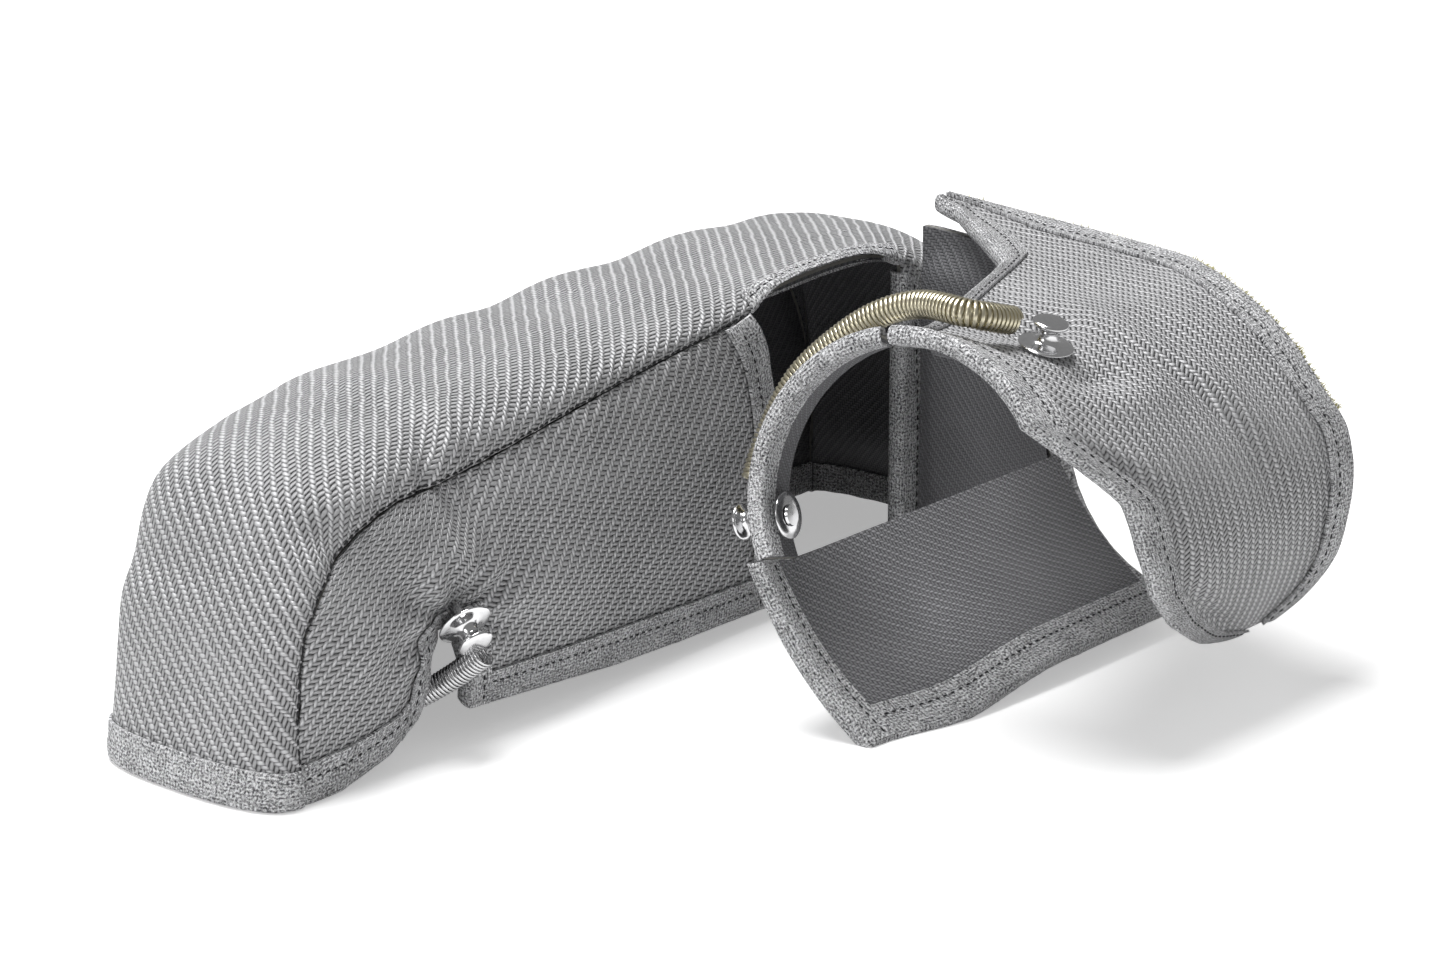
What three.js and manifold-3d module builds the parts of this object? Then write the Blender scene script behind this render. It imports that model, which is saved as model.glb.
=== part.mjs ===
// Fitted heat blanket for the hot side of a turbocharger, in its worn, formed shape.
// A long hood covers a manifold, and a barrel hood with an outlet collar, a flap and a skirt
// covers a turbine housing. Each wall is a sandwich of woven cloth, felt and inner liner.
// Millimetres. X runs from the left end to the right, Y from front to back, Z up.
import * as THREE from 'three';
import { mergeVertices } from 'three/addons/utils/BufferGeometryUtils.js';
import Module from 'manifold-3d';

const wasm = await Module();
wasm.setup();

// The sandwich, from the outside in
const clothThickness = 1.2;
const feltThickness = 5;
const linerThickness = 0.8;
const layerGap = 0.3;
const pressedFelt = 1.2;
const seamPress = 0.8;
const seamGap = 0.4;

// The binding tape, folded round each free edge
const tapeThickness = 1;
const tapeGap = 0.3;
const tapeUnderGap = 0.7;

// The lowest hems reach this far below the sheets' own edges
const footLevel = seamGap / 2 - tapeGap - tapeThickness;

// The long hood
const hoodDepth = 79;
const hoodRoundness = 2.6;
const frontPillow = 4.5;
const rearPillow = 3;

// The barrel hood and the outlet
const barrelRadius = 62;
const barrelY = -112;
const barrelZ = 60;
const leaveAngle = 87;
const outletCentre = new THREE.Vector3(150, -107, 81);
const outletAxis = new THREE.Vector3(-0.96, -0.105, 0.261).normalize();
const outletRadius = 51.7;
const collarWidth = 17;
const collarHem = 8;
const flareEnd = 205;
const barrelHem = 12;

// The skirt under the outlet
const skirtLeft = 150;
const skirtRight = 295.85;
const skirtTipY = -99;
const skirtFrontY = -108;
const skirtRise = 7;

// The right cheek
const cheekX = 296;
const cheekBore = 53.8;
const cheekFront = -100;
const cheekRear = -1.8;
const cheekTopDrop = 8;
const cheekBinding = 3;

// Lacing posts and springs
const postBase = 17.5;
const postBaseThickness = 1.2;
const postWaist = 6;
const postHead = 11.5;
const postHeight = 7.5;
const stemDiameter = 3.6;
const stemHole = 4.4;
const washerDiameter = 15;
const washerThickness = 0.8;
const rivetHead = 7;
const springDiameter = 9;
const topSpringTurns = 23;
const slitSpringTurns = 10;
const springWire = 1.5;

// Materials
const finishes = {
  cloth: { color: 0x8c8c8f, roughness: 0.75, metalness: 0.1 },
  felt: { color: 0xd8d2c4, roughness: 0.95, metalness: 0 },
  liner: { color: 0x5b5b5e, roughness: 0.7, metalness: 0.2 },
  tape: { color: 0xb2b2b4, roughness: 0.8, metalness: 0.1 },
  post: { color: 0xdedee0, roughness: 0.15, metalness: 1 },
  spring: { color: 0xb3aa8c, roughness: 0.35, metalness: 1 },
};

const blanket = new THREE.Group();
const vec = (x, y, z) => new THREE.Vector3(x, y, z);
const mix = (a, b, t) => a + (b - a) * t;
const degrees = (angle) => (angle * Math.PI) / 180;
const bump = (x, centre, width) => Math.exp(-(((x - centre) / width) ** 2));

// Turns lists of points and triangles into one closed solid with its faces pointing out
function solidFrom(points, triangles) {
  const geometry = new THREE.BufferGeometry();
  const positions = new Float32Array(points.flatMap((p) => [p.x, p.y, p.z]));
  geometry.setAttribute('position', new THREE.BufferAttribute(positions, 3));
  let volume = 0;
  for (const [a, b, c] of triangles) {
    volume += points[a].dot(points[b].clone().cross(points[c]));
  }
  const facing = volume < 0 ? triangles.map(([a, b, c]) => [a, c, b]) : triangles;
  geometry.setIndex(facing.flat());
  return geometry;
}

function addPiece(name, geometry, finish) {
  geometry.computeVertexNormals();
  const mesh = new THREE.Mesh(geometry, new THREE.MeshStandardMaterial(finishes[finish]));
  mesh.name = name;
  blanket.add(mesh);
  return mesh;
}

// Boolean tools
function toManifold(geometry) {
  const bare = geometry.clone();
  bare.deleteAttribute('normal');
  bare.deleteAttribute('uv');
  const merged = mergeVertices(bare, 1e-4);
  return new wasm.Manifold(new wasm.Mesh({
    numProp: 3,
    vertProperties: new Float32Array(merged.attributes.position.array),
    triVerts: new Uint32Array(merged.index.array),
  }));
}

function fromManifold(solid) {
  const mesh = solid.getMesh();
  const geometry = new THREE.BufferGeometry();
  geometry.setAttribute('position', new THREE.BufferAttribute(new Float32Array(mesh.vertProperties), 3));
  geometry.setIndex(Array.from(mesh.triVerts));
  return geometry;
}

function drill(geometry, cutters) {
  let solid = toManifold(geometry);
  for (const cutter of cutters) solid = solid.subtract(toManifold(cutter));
  return fromManifold(solid);
}

// Places a geometry made along +Z so that its axis follows a direction from a point
function aim(geometry, origin, axis) {
  const turn = new THREE.Quaternion().setFromUnitVectors(vec(0, 0, 1), axis.clone().normalize());
  geometry.applyQuaternion(turn);
  geometry.translate(origin.x, origin.y, origin.z);
  return geometry;
}

// A sheet is a grid of points on the blanket's outside face with the direction out of it.
// Each of its three layers is a solid between two depths below that face.
class Sheet {
  constructor({ rows, columns, point, facing, turned, pressed, open, thinRows, thinColumns, puffed }) {
    this.rows = rows;
    this.side = turned ? -1 : 1;
    this.columns = columns;
    this.pressed = pressed ?? (() => 0);
    this.open = open ?? (() => false);
    this.puffed = puffed ?? (() => 0);
    this.keepRows = this.kept(rows, thinRows ?? []);
    this.keepColumns = this.kept(columns, thinColumns ?? []);
    this.points = this.table((i, j) => point(i, j));
    this.out = this.table((i, j) => facing?.(i, j) ?? this.normal(i, j));
    this.insetEdges();
  }

  kept(count, dropped) {
    return Array.from({ length: count + 1 }, (_, k) => k).filter((k) => !dropped.includes(k));
  }

  table(make) {
    return Array.from({ length: this.rows + 1 }, (_, i) =>
      Array.from({ length: this.columns + 1 }, (_, j) => make(i, j)));
  }

  normal(i, j) {
    const p = this.points;
    const down = p[Math.min(i + 1, this.rows)][j].clone().sub(p[Math.max(i - 1, 0)][j]);
    const along = p[i][Math.min(j + 1, this.columns)].clone().sub(p[i][Math.max(j - 1, 0)]);
    return along.cross(down).setLength(this.side);
  }

  // Pulls each edge back by half a seam gap, so that two sewn sheets do not touch
  insetEdges() {
    const pull = (point, next) => point.clone().add(
      next.clone().sub(point).setLength(seamGap / 2));
    const p = this.points;
    const last = this.columns;
    const moved = p.map((row, i) => row.map((point, j) => {
      let result = point;
      if (i === 0) result = pull(result, p[1][j]);
      if (i === this.rows) result = pull(result, p[this.rows - 1][j]);
      if (j === 0) result = pull(result, p[i][1]);
      if (j === last) result = pull(result, p[i][last - 1]);
      return result;
    }));
    this.points = moved;
  }

  depths(layer, i, j) {
    const felt = mix(feltThickness, pressedFelt, this.pressed(i, j));
    const puff = this.puffed(i, j);
    if (layer === 'cloth') return [-puff, clothThickness - puff];
    const feltTop = clothThickness + layerGap;
    if (layer === 'felt') return [feltTop, feltTop + felt];
    const linerTop = feltTop + felt + layerGap;
    return [linerTop, linerTop + linerThickness];
  }

  at(i, j, depth) {
    return this.points[i][j].clone().addScaledVector(this.out[i][j], -depth);
  }

  layer(kind) {
    const fine = kind === 'cloth';
    const rows = fine ? this.kept(this.rows, []) : this.keepRows;
    const columns = fine ? this.kept(this.columns, []) : this.keepColumns;
    const points = [];
    const index = new Map();
    const vertex = (r, c, side) => {
      const key = `${r},${c},${side}`;
      if (!index.has(key)) {
        index.set(key, points.length);
        const depth = this.depths(kind, rows[r], columns[c])[side];
        points.push(this.at(rows[r], columns[c], depth));
      }
      return index.get(key);
    };
    const solid = (r, c) => r >= 0 && c >= 0 && r < rows.length - 1 && c < columns.length - 1
      && !this.open(rows[r], columns[c]);
    const triangles = [];
    const quad = (a, b, c, d) => triangles.push([a, b, c], [a, c, d]);
    for (let r = 0; r < rows.length - 1; r += 1) {
      for (let c = 0; c < columns.length - 1; c += 1) {
        if (!solid(r, c)) continue;
        quad(vertex(r, c, 0), vertex(r, c + 1, 0), vertex(r + 1, c + 1, 0), vertex(r + 1, c, 0));
        // The lower face keeps the same diagonal as the upper one
        const low = [vertex(r, c, 1), vertex(r, c + 1, 1), vertex(r + 1, c + 1, 1), vertex(r + 1, c, 1)];
        triangles.push([low[0], low[2], low[1]], [low[0], low[3], low[2]]);
        const wall = (r1, c1, r2, c2) =>
          quad(vertex(r1, c1, 0), vertex(r1, c1, 1), vertex(r2, c2, 1), vertex(r2, c2, 0));
        if (!solid(r - 1, c)) wall(r, c, r, c + 1);
        if (!solid(r, c + 1)) wall(r, c + 1, r + 1, c + 1);
        if (!solid(r + 1, c)) wall(r + 1, c + 1, r + 1, c);
        if (!solid(r, c - 1)) wall(r + 1, c, r, c);
      }
    }
    return solidFrom(points, triangles);
  }
}

function addSheet(name, sheet, cutters = []) {
  for (const kind of ['cloth', 'felt', 'liner']) {
    const geometry = sheet.layer(kind);
    addPiece(`${name}_${kind}`, cutters.length ? drill(geometry, cutters) : geometry, kind);
  }
}

// A hem is tape folded over a free edge. Each station lists the grid places from the inner
// border of the hem to the edge, and the tape follows them over the cloth and under the liner.
function addHem(name, sheet, stations, { thin = [], slack = 0 } = {}) {
  const tuck = 0.5;
  const turn = tapeGap + slack;
  const pressedDepth = clothThickness + layerGap + pressedFelt + layerGap + linerThickness;
  const top = tapeGap + tapeThickness;
  const under = pressedDepth + tapeUnderGap + tapeThickness;
  const pointOf = ([i, j]) => sheet.points[i]?.[j];
  // The edge runs on past the hem's ends wherever the sheet does
  const edgeOf = (k) => {
    const near = Math.min(Math.max(k, 0), stations.length - 1);
    const [i, j] = stations[near].at(-1);
    const [i0, j0] = stations[0].at(-1);
    const [i1, j1] = stations[1].at(-1);
    const next = [i + (k - near) * (i1 - i0), j + (k - near) * (j1 - j0)];
    return pointOf(next) ? next : [i, j];
  };
  const sections = stations.map((places, k) => {
    const edge = places.at(-1);
    const inner = places.at(-2);
    const edgePoint = pointOf(edge);
    // The fold turns square to the edge, away from the sheet
    const tangent = pointOf(edgeOf(k + 1)).clone().sub(pointOf(edgeOf(k - 1)));
    const beyond = tangent.cross(sheet.out[edge[0]][edge[1]]).normalize();
    if (beyond.dot(edgePoint.clone().sub(pointOf(inner))) < 0) beyond.negate();
    const place = ([i, j], depth, out) =>
      sheet.at(i, j, depth).addScaledVector(beyond, out);
    const leg = (depth, out) => places.map((spot, k) => {
      if (k === 0) {
        const [first, next] = [places[0], places[1]];
        const start = sheet.at(first[0], first[1], depth);
        return start.lerp(sheet.at(next[0], next[1], depth), tuck / 12);
      }
      return place(spot, depth, k === places.length - 1 ? out : 0);
    });
    return {
      outer: [...leg(-top, 0), place(edge, 0.3, top + slack), ...leg(-tapeGap, turn).reverse()],
      inner: [
        place(edge, pressedDepth - 0.3, top + slack),
        ...leg(under, 0).reverse(),
        ...leg(pressedDepth + tapeUnderGap, turn),
      ],
      edgePoint,
    };
  });
  // Under the liner the tape follows the liner's own longer facets
  sections.forEach((section, k) => {
    if (!thin.includes(k)) return;
    const [before, after] = [sections[k - 1], sections[k + 1]];
    const reach = section.edgePoint.distanceTo(before.edgePoint);
    const share = reach / (reach + section.edgePoint.distanceTo(after.edgePoint));
    section.inner = before.inner.map((p, n) => p.clone().lerp(after.inner[n], share));
  });
  // Each end stops a little short of the next hem
  const trim = (section, next) => {
    const share = seamGap / 2 / section.edgePoint.distanceTo(next.edgePoint);
    for (const part of ['outer', 'inner']) {
      section[part] = section[part].map((p, n) => p.clone().lerp(next[part][n], share));
    }
  };
  trim(sections[0], sections[1]);
  trim(sections.at(-1), sections.at(-2));
  const legs = stations[0].length;
  // The ring of one section: over the cloth, round the edge, back under the liner and out again
  const ring = ({ outer, inner }) => [
    ...outer.slice(0, legs + 1),
    ...inner,
    ...outer.slice(legs + 1),
  ];
  const points = sections.flatMap(ring);
  const size = ring(sections[0]).length;
  const triangles = [];
  // Each facet of the tape is cut along the same diagonal as the cloth below it
  const [from, edge] = stations[0].slice(-2);
  const step = stations[1][0];
  const along = Math.sign(step[0] - stations[0][0][0] + step[1] - stations[0][0][1]);
  const toEdge = Math.sign(edge[0] - from[0] + edge[1] - from[1]);
  const cutsForward = (n) => {
    const outward = n < legs || (n > 2 * legs + 1 && n < 3 * legs + 2);
    return outward === (along * toEdge > 0);
  };
  for (let k = 0; k + 1 < sections.length; k += 1) {
    for (let n = 0; n < size; n += 1) {
      const a = k * size + n;
      const b = k * size + ((n + 1) % size);
      if (cutsForward(n)) triangles.push([a, b, b + size], [a, b + size, a + size]);
      else triangles.push([a, b, a + size], [b, b + size, a + size]);
    }
  }
  // The ends are capped as a strip between the outside and the inside of the fold
  const cap = (base, flip) => {
    const outside = Array.from({ length: 2 * legs + 2 }, (_, n) => base + n);
    const inside = Array.from({ length: 2 * legs }, (_, n) => base + size - 1 - n);
    const put = (a, b, c) => triangles.push(flip ? [a, c, b] : [a, b, c]);
    for (let n = 0; n + 1 < legs; n += 1) {
      put(outside[n], inside[n], outside[n + 1]);
      put(outside[n + 1], inside[n], inside[n + 1]);
    }
    put(outside[legs - 1], inside[legs - 1], outside[legs]);
    put(outside[legs], inside[legs - 1], inside[legs]);
    put(outside[legs], inside[legs], outside[legs + 1]);
    put(outside[legs + 1], inside[legs], outside[legs + 2]);
    for (let n = legs; n + 1 < 2 * legs; n += 1) {
      put(outside[n + 2], inside[n], outside[n + 3]);
      put(outside[n + 3], inside[n], inside[n + 1]);
    }
  };
  cap(0, false);
  cap((sections.length - 1) * size, true);
  return addPiece(name, solidFrom(points, triangles), 'tape');
}

const range = (from, to) => Array.from({ length: Math.abs(to - from) + 1 },
  (_, k) => from + Math.sign(to - from) * k);

// The long hood's stations, from the left hem over the crown to the right hem.
// Each is the front seam's place [x, z], the lean of the rise from upright, the rise to the
// crown.
const stations = [
  { seam: [1, 0], lean: -90, rise: 14.5 },
  { seam: [1, 12.5], lean: -90, rise: 12.3 },
  { seam: [1.5, 23], lean: -88, rise: 10 },
  { seam: [2.5, 36], lean: -84, rise: 8.4 },
  { seam: [5, 50], lean: -72, rise: 8.6 },
  { seam: [12.5, 63], lean: -55, rise: 13 },
  { seam: [23, 75.5], lean: -32, rise: 19.5 },
  { seam: [42, 83], lean: -12, rise: 20.5 },
  { seam: [54, 84.2], lean: -5, rise: 21 },
  { seam: [63, 85], lean: -2, rise: 21.2 },
  { seam: [69, 85.7], lean: 0, rise: 21.8 },
  { seam: [84, 87.5], lean: 0, rise: 21.5 },
  { seam: [110, 91.5], lean: 0, rise: 18.6 },
  { seam: [138, 96], lean: 0, rise: 14.6 },
  { seam: [168, 100.5], lean: 0, rise: 11.8 },
  { seam: [196, 104], lean: 0, rise: 9.8 },
  { seam: [209, 107], lean: 0, rise: 7.5 },
  { seam: [224, 114], lean: 0, rise: 1 },
  { seam: [250, 116], lean: 0, rise: 0.2 },
  { seam: [272, 114.5], lean: 0, rise: 1.5 },
  { seam: [291, 107], lean: 2, rise: 8 },
  { seam: [302, 101], lean: 6, rise: 12 },
  { seam: [316, 88], lean: 30, rise: 20 },
  { seam: [325, 73], lean: 52, rise: 15 },
  { seam: [331, 58], lean: 72, rise: 10.5 },
  { seam: [334.5, 42], lean: 84, rise: 9 },
  { seam: [335.3, 27], lean: 88, rise: 9 },
  { seam: [335.5, 13], lean: 90, rise: 9.3 },
  { seam: [335.5, 0], lean: 90, rise: 10 },
];
const leftCorner = 6;
const windowLeft = 16;
const windowRight = 20;
const rightCorner = 22;
const crossAngles = [0, 20, 46, 68, 90, 112, 134, 160, 180];
const crownLine = 4;

const seamPoint = (k) => ({ x: stations[k].seam[0], z: stations[k].seam[1] });

// The rear seam runs straight between a few of the stations
const rearKnots = [[6, 75.5], [8, 84.2], [11, 87.5], [13, 94.2], [15, 98], [20, 94], [22, 88]];
function rearSeam(k) {
  const x = stations[k].seam[0];
  const next = rearKnots.findIndex(([knot]) => knot >= k);
  if (next < 1) return { x, z: stations[k].seam[1] };
  const [[from, low], [to, high]] = [rearKnots[next - 1], rearKnots[next]];
  const [start, end] = [stations[from].seam[0], stations[to].seam[0]];
  return { x, z: mix(low, high, (x - start) / (end - start)) };
}

// Across the hood each station is half a superellipse from the front seam to the rear seam
function topPoint(k, j) {
  const { lean, rise } = stations[k];
  const angle = degrees(crossAngles[j]);
  const power = 2 / hoodRoundness;
  const across = Math.sign(Math.cos(angle)) * Math.abs(Math.cos(angle)) ** power;
  const height = Math.abs(Math.sin(angle)) ** power;
  const front = seamPoint(k);
  const crown = {
    x: front.x + rise * Math.sin(degrees(lean)),
    z: front.z + rise * Math.cos(degrees(lean)),
  };
  const foot = j <= crownLine ? front : rearSeam(k);
  const y = (hoodDepth / 2) * (1 - (j === crownLine ? 0 : across));
  return vec(mix(foot.x, crown.x, height), y, mix(foot.z, crown.z, height));
}

const thinAcross = [3, 5];
const topRows = stations.length - 1;
const topColumns = crossAngles.length - 1;
const inWindow = (k) => k > windowLeft && k < windowRight;
const topSheet = new Sheet({
  rows: topRows,
  columns: topColumns,
  point: topPoint,
  turned: true,
  facing: (k, j) => {
    if (j === 0 && !inWindow(k)) return vec(0, -1, 0);
    if (j === topColumns) return vec(0, 1, 0);
    // The two ends stand upright on the floor
    if (k > 0 && k < topRows) return null;
    const along = topPoint(k, j + 1).sub(topPoint(k, j - 1));
    const side = k === 0 ? -1 : 1;
    return vec(side * along.y, -side * along.x, 0).normalize();
  },
  pressed: (k, j) => {
    if (k <= 1 || k >= topRows - 1) return 1;
    if (k >= windowLeft - 1 && k <= windowRight + 1 && j <= 2) return 1;
    const beside = k < leftCorner || k > rightCorner ? 1 : 0;
    return j <= beside || j >= topColumns - beside ? seamPress : 0;
  },
  thinRows: [14],
  thinColumns: thinAcross,
});

// Three-sided walls below the top sheet share its seams point by point.
// A wall's columns run between two corners of the seam, its rows down both ends.
const wallRows = [0, 0.16, 0.3, 0.45, 0.62, 0.81, 1];
const slitLeft = 3;
const slitRight = 4;
const slitTopRow = 3;
const slitHalfWidth = 3.6;
const slitX = 66;
const frontHemLine = [
  [1, 0], [17, 0.5], [37, 5.5], [50, 14], [74, 10.5], [88, 9.5], [112, 8], [142, 5.5],
  [174, 4.6], [208.5, 4.3], [221, 4],
];
const windowSide = [
  [221, 4], [222, 17], [222.6, 31], [223, 48], [222.5, 68], [218, 90], [209, 107],
];

// The front wall's place in the plane of the wall
function frontPlace(i, j) {
  const [hemX, hemZ] = frontHemLine[i];
  const seam = seamPoint(leftCorner + i);
  const share = wallRows[j];
  let x = mix(hemX, seam.x, share);
  let z = mix(hemZ, seam.z, share);
  const last = frontHemLine.length - 1;
  const leftEdge = seamPoint(j);
  const leftSpan = seamPoint(leftCorner);
  const fadeLeft = [1, 0.5, 0.15][i] ?? 0;
  x += fadeLeft * (leftEdge.x - mix(frontHemLine[0][0], leftSpan.x, share));
  z += fadeLeft * (leftEdge.z - mix(frontHemLine[0][1], leftSpan.z, share));
  const fadeRight = [1, 0.85, 0.4][last - i] ?? 0;
  const seamEnd = seamPoint(windowLeft);
  x += fadeRight * (windowSide[j][0] - mix(frontHemLine[last][0], seamEnd.x, share));
  z += fadeRight * (windowSide[j][1] - mix(frontHemLine[last][1], seamEnd.z, share));
  if (i === slitLeft || i === slitRight) {
    const side = i === slitLeft ? -1 : 1;
    const apex = slitX + side * slitHalfWidth;
    const climb = Math.min(1, share / wallRows[slitTopRow]);
    x = share <= wallRows[slitTopRow]
      ? mix(hemX, apex, climb)
      : mix(apex, seam.x, (share - wallRows[slitTopRow]) / (1 - wallRows[slitTopRow]));
  }
  return { x, z };
}

// How far the front wall stands forward of its seam plane, with the fold over the slit's post
function frontBulge(x, z, share) {
  const span = THREE.MathUtils.clamp((x - 2) / 216, 0, 1);
  const pillow = frontPillow * Math.sin(Math.PI * share) ** 0.8 * Math.sin(Math.PI * span) ** 0.5;
  const fold = 5 * bump(x, slitX, 15) * bump(z, 62, 11);
  const hollow = 6 * bump(x, slitX, 12) * bump(z, 37, 11);
  return pillow + fold - hollow;
}

const frontColumns = frontHemLine.length - 1;
const frontRows = wallRows.length - 1;
const frontSheet = new Sheet({
  rows: frontRows,
  columns: frontColumns,
  point: (j, i) => {
    const { x, z } = frontPlace(i, j);
    const onSeam = i === 0 || j === frontRows;
    return vec(x, onSeam ? 0 : -frontBulge(x, z, wallRows[j]), z);
  },
  facing: (j, i) => (i === 0 || j === frontRows ? vec(0, -1, 0) : null),
  pressed: (j, i) => {
    const besideSlit = j <= slitTopRow && i >= slitLeft - 1 && i <= slitRight + 1;
    if (j <= 1 || i >= frontColumns - 1 || besideSlit) return 1;
    return i === 0 || j === frontRows ? seamPress : 0;
  },
  open: (j, i) => i === slitLeft && j < slitTopRow,
  thinColumns: [8],
});

// A plain wall between two seams, for the rear and the right part of the front
function wallSheet({ y, side, leftSeam, rightSeam, topSeam, hem, pillow, thinColumns, pressed }) {
  const columns = topSeam.length - 1;
  const place = (i, j) => {
    const share = wallRows[j];
    const along = i / columns;
    const foot = hem[i];
    const seam = topSeam[i];
    const pull = (edge, footEnd, seamEnd, weight) => ({
      x: weight * (edge[j].x - mix(footEnd.x, seamEnd.x, share)),
      z: weight * (edge[j].z - mix(footEnd.z, seamEnd.z, share)),
    });
    const left = pull(leftSeam, hem[0], topSeam[0], 1 - along);
    const right = pull(rightSeam, hem[columns], topSeam[columns], along);
    return {
      x: mix(foot.x, seam.x, share) + left.x + right.x,
      z: mix(foot.z, seam.z, share) + left.z + right.z,
    };
  };
  return new Sheet({
    rows: frontRows,
    columns,
    point: (j, i) => {
      const { x, z } = place(i, j);
      const round = Math.sin(Math.PI * wallRows[j]) * Math.sin((Math.PI * i) / columns);
      return vec(x, y + side * pillow * round, z);
    },
    facing: () => vec(0, side, 0),
    pressed,
    thinColumns,
  });
}

const rearStations = rearKnots.map(([knot]) => knot);
const rearTop = rearStations.map(rearSeam);
const rearLeft = range(0, leftCorner).map(rearSeam);
const rearRight = range(topRows, rightCorner).map(rearSeam);
const rearHemLine = rearTop.map((_, i) => ({
  x: mix(rearLeft[0].x, rearRight[0].x, i / (rearTop.length - 1)), z: 0,
}));
const rearSheet = wallSheet({
  y: hoodDepth,
  side: 1,
  leftSeam: rearLeft,
  rightSeam: rearRight,
  topSeam: rearTop,
  hem: rearHemLine,
  pillow: rearPillow,
  pressed: (j, i) => {
    if (j <= 1) return 1;
    return j === frontRows || i === 0 || i === rearTop.length - 1 ? seamPress : 0;
  },
});

const sideTop = [20, 21, 22].map(seamPoint);
const sideRight = range(topRows, rightCorner).map(seamPoint);
const sideLeft = wallRows.map((share) => ({ x: 291, z: sideTop[0].z * share }));
const sideHemLine = [{ x: 291, z: 0 }, { x: 302, z: 0 }, sideRight[0]];
const sideSheet = wallSheet({
  y: 0,
  side: -1,
  leftSeam: sideLeft,
  rightSeam: sideRight,
  topSeam: sideTop,
  hem: sideHemLine,
  pillow: 0,
  pressed: (j, i) => {
    if (j <= 1 || i <= 1) return 1;
    return j === frontRows || i === 2 ? seamPress : 0;
  },
});

// The outlet ring: a circle on the tilted plane of the outlet, angles from the front upward
const ringFront = vec(0, -1, 0).addScaledVector(outletAxis, -vec(0, -1, 0).dot(outletAxis)).normalize();
const ringUp = outletAxis.clone().cross(ringFront);
function ringPoint(angle, depth, radius = outletRadius) {
  return outletCentre.clone()
    .addScaledVector(outletAxis, -depth)
    .addScaledVector(ringFront, radius * Math.cos(degrees(angle)))
    .addScaledVector(ringUp, radius * Math.sin(degrees(angle)));
}

// The barrel's section: round to the leaving angle, then straight back over the join
const leave = degrees(leaveAngle);
const leavePoint = { y: barrelY - barrelRadius * Math.cos(leave), z: barrelZ + barrelRadius * Math.sin(leave) };
const leaveSlope = Math.cos(leave) / Math.sin(leave);
function barrelSection(s) {
  if (s <= leaveAngle) {
    const a = degrees(s);
    return { y: barrelY - barrelRadius * Math.cos(a), z: barrelZ + barrelRadius * Math.sin(a) };
  }
  return { y: leavePoint.y + (s - leaveAngle), z: leavePoint.z + (s - leaveAngle) * leaveSlope };
}

// The barrel hood's rows: the angle or the way along, and the left and right edge.
// A row with no left edge starts on the outlet ring.
const barrelRows = [
  { s: -42, left: 262, right: 283 },
  { s: -34, left: 234, right: 291 },
  { s: -21, left: 211, right: 298 },
  { s: -8, left: 196, right: 299 },
  { s: 6, left: 189.5, right: 301 },
  { s: 20, left: 187, right: 301 },
  { s: 29, left: 176, right: 297 },
  { s: 38, right: 295 },
  { s: 50, right: 295 },
  { s: 63, right: 296 },
  { s: 76, right: 299 },
  { s: 87, right: 304 },
  { s: 95, right: 308 },
  { s: 103, right: 310 },
  { s: 121, left: 215, right: 311 },
  { s: 138, left: 262, right: 311 },
  { s: 162, left: 282, right: 311 },
  { s: 183, left: 298, right: 311 },
  { s: 198, left: 305, right: 311 },
];
const outletFirst = 7;
const outletLast = 13;
const barrelShares = [0, 0.25, 0.5, 0.75, 1];

function barrelPoint(i, j) {
  const { s, left, right } = barrelRows[i];
  const ring = ringPoint(s, 0);
  const start = left ?? ring.x;
  const width = right - start;
  const band = Math.min(barrelHem, width * 0.32);
  const inner = barrelShares.map((share) => mix(start + band, right - band, share));
  const x = [start, ...inner, right][j];
  const { y, z } = barrelSection(s);
  const reach = THREE.MathUtils.clamp((x - ring.x) / (flareEnd - ring.x), 0, 1);
  const flare = s > 110 ? 1 : 1 - (1 - reach) ** 2;
  return vec(x, mix(ring.y, y, flare), mix(ring.z, z, flare));
}

const barrelColumns = barrelShares.length + 1;
const barrelSheet = new Sheet({
  rows: barrelRows.length - 1,
  columns: barrelColumns,
  point: barrelPoint,
  pressed: (i, j) => (i <= 0 || j <= 1 || j >= barrelColumns - 1 || i >= 17 ? 1 : 0),
  thinRows: [8, 12],
  thinColumns: [3],
});

// The collar wraps the left and top of the outlet, and the skirt goes on from its lower end
const collarStart = 107;
const collarEnd = 213;
const collarRows = 8;
const collarSheet = new Sheet({
  rows: collarRows,
  columns: 2,
  point: (i, j) => {
    const depth = [0, collarHem, collarWidth][j];
    const start = collarStart + 0.45 * depth;
    return ringPoint(mix(start, collarEnd, i / collarRows), depth);
  },
  facing: (i, j) => {
    const start = collarStart + 0.45 * [0, collarHem, collarWidth][j];
    const angle = mix(start, collarEnd, i / collarRows);
    return ringPoint(angle, 0, 1).sub(outletCentre);
  },
  pressed: () => 1,
});

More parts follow.
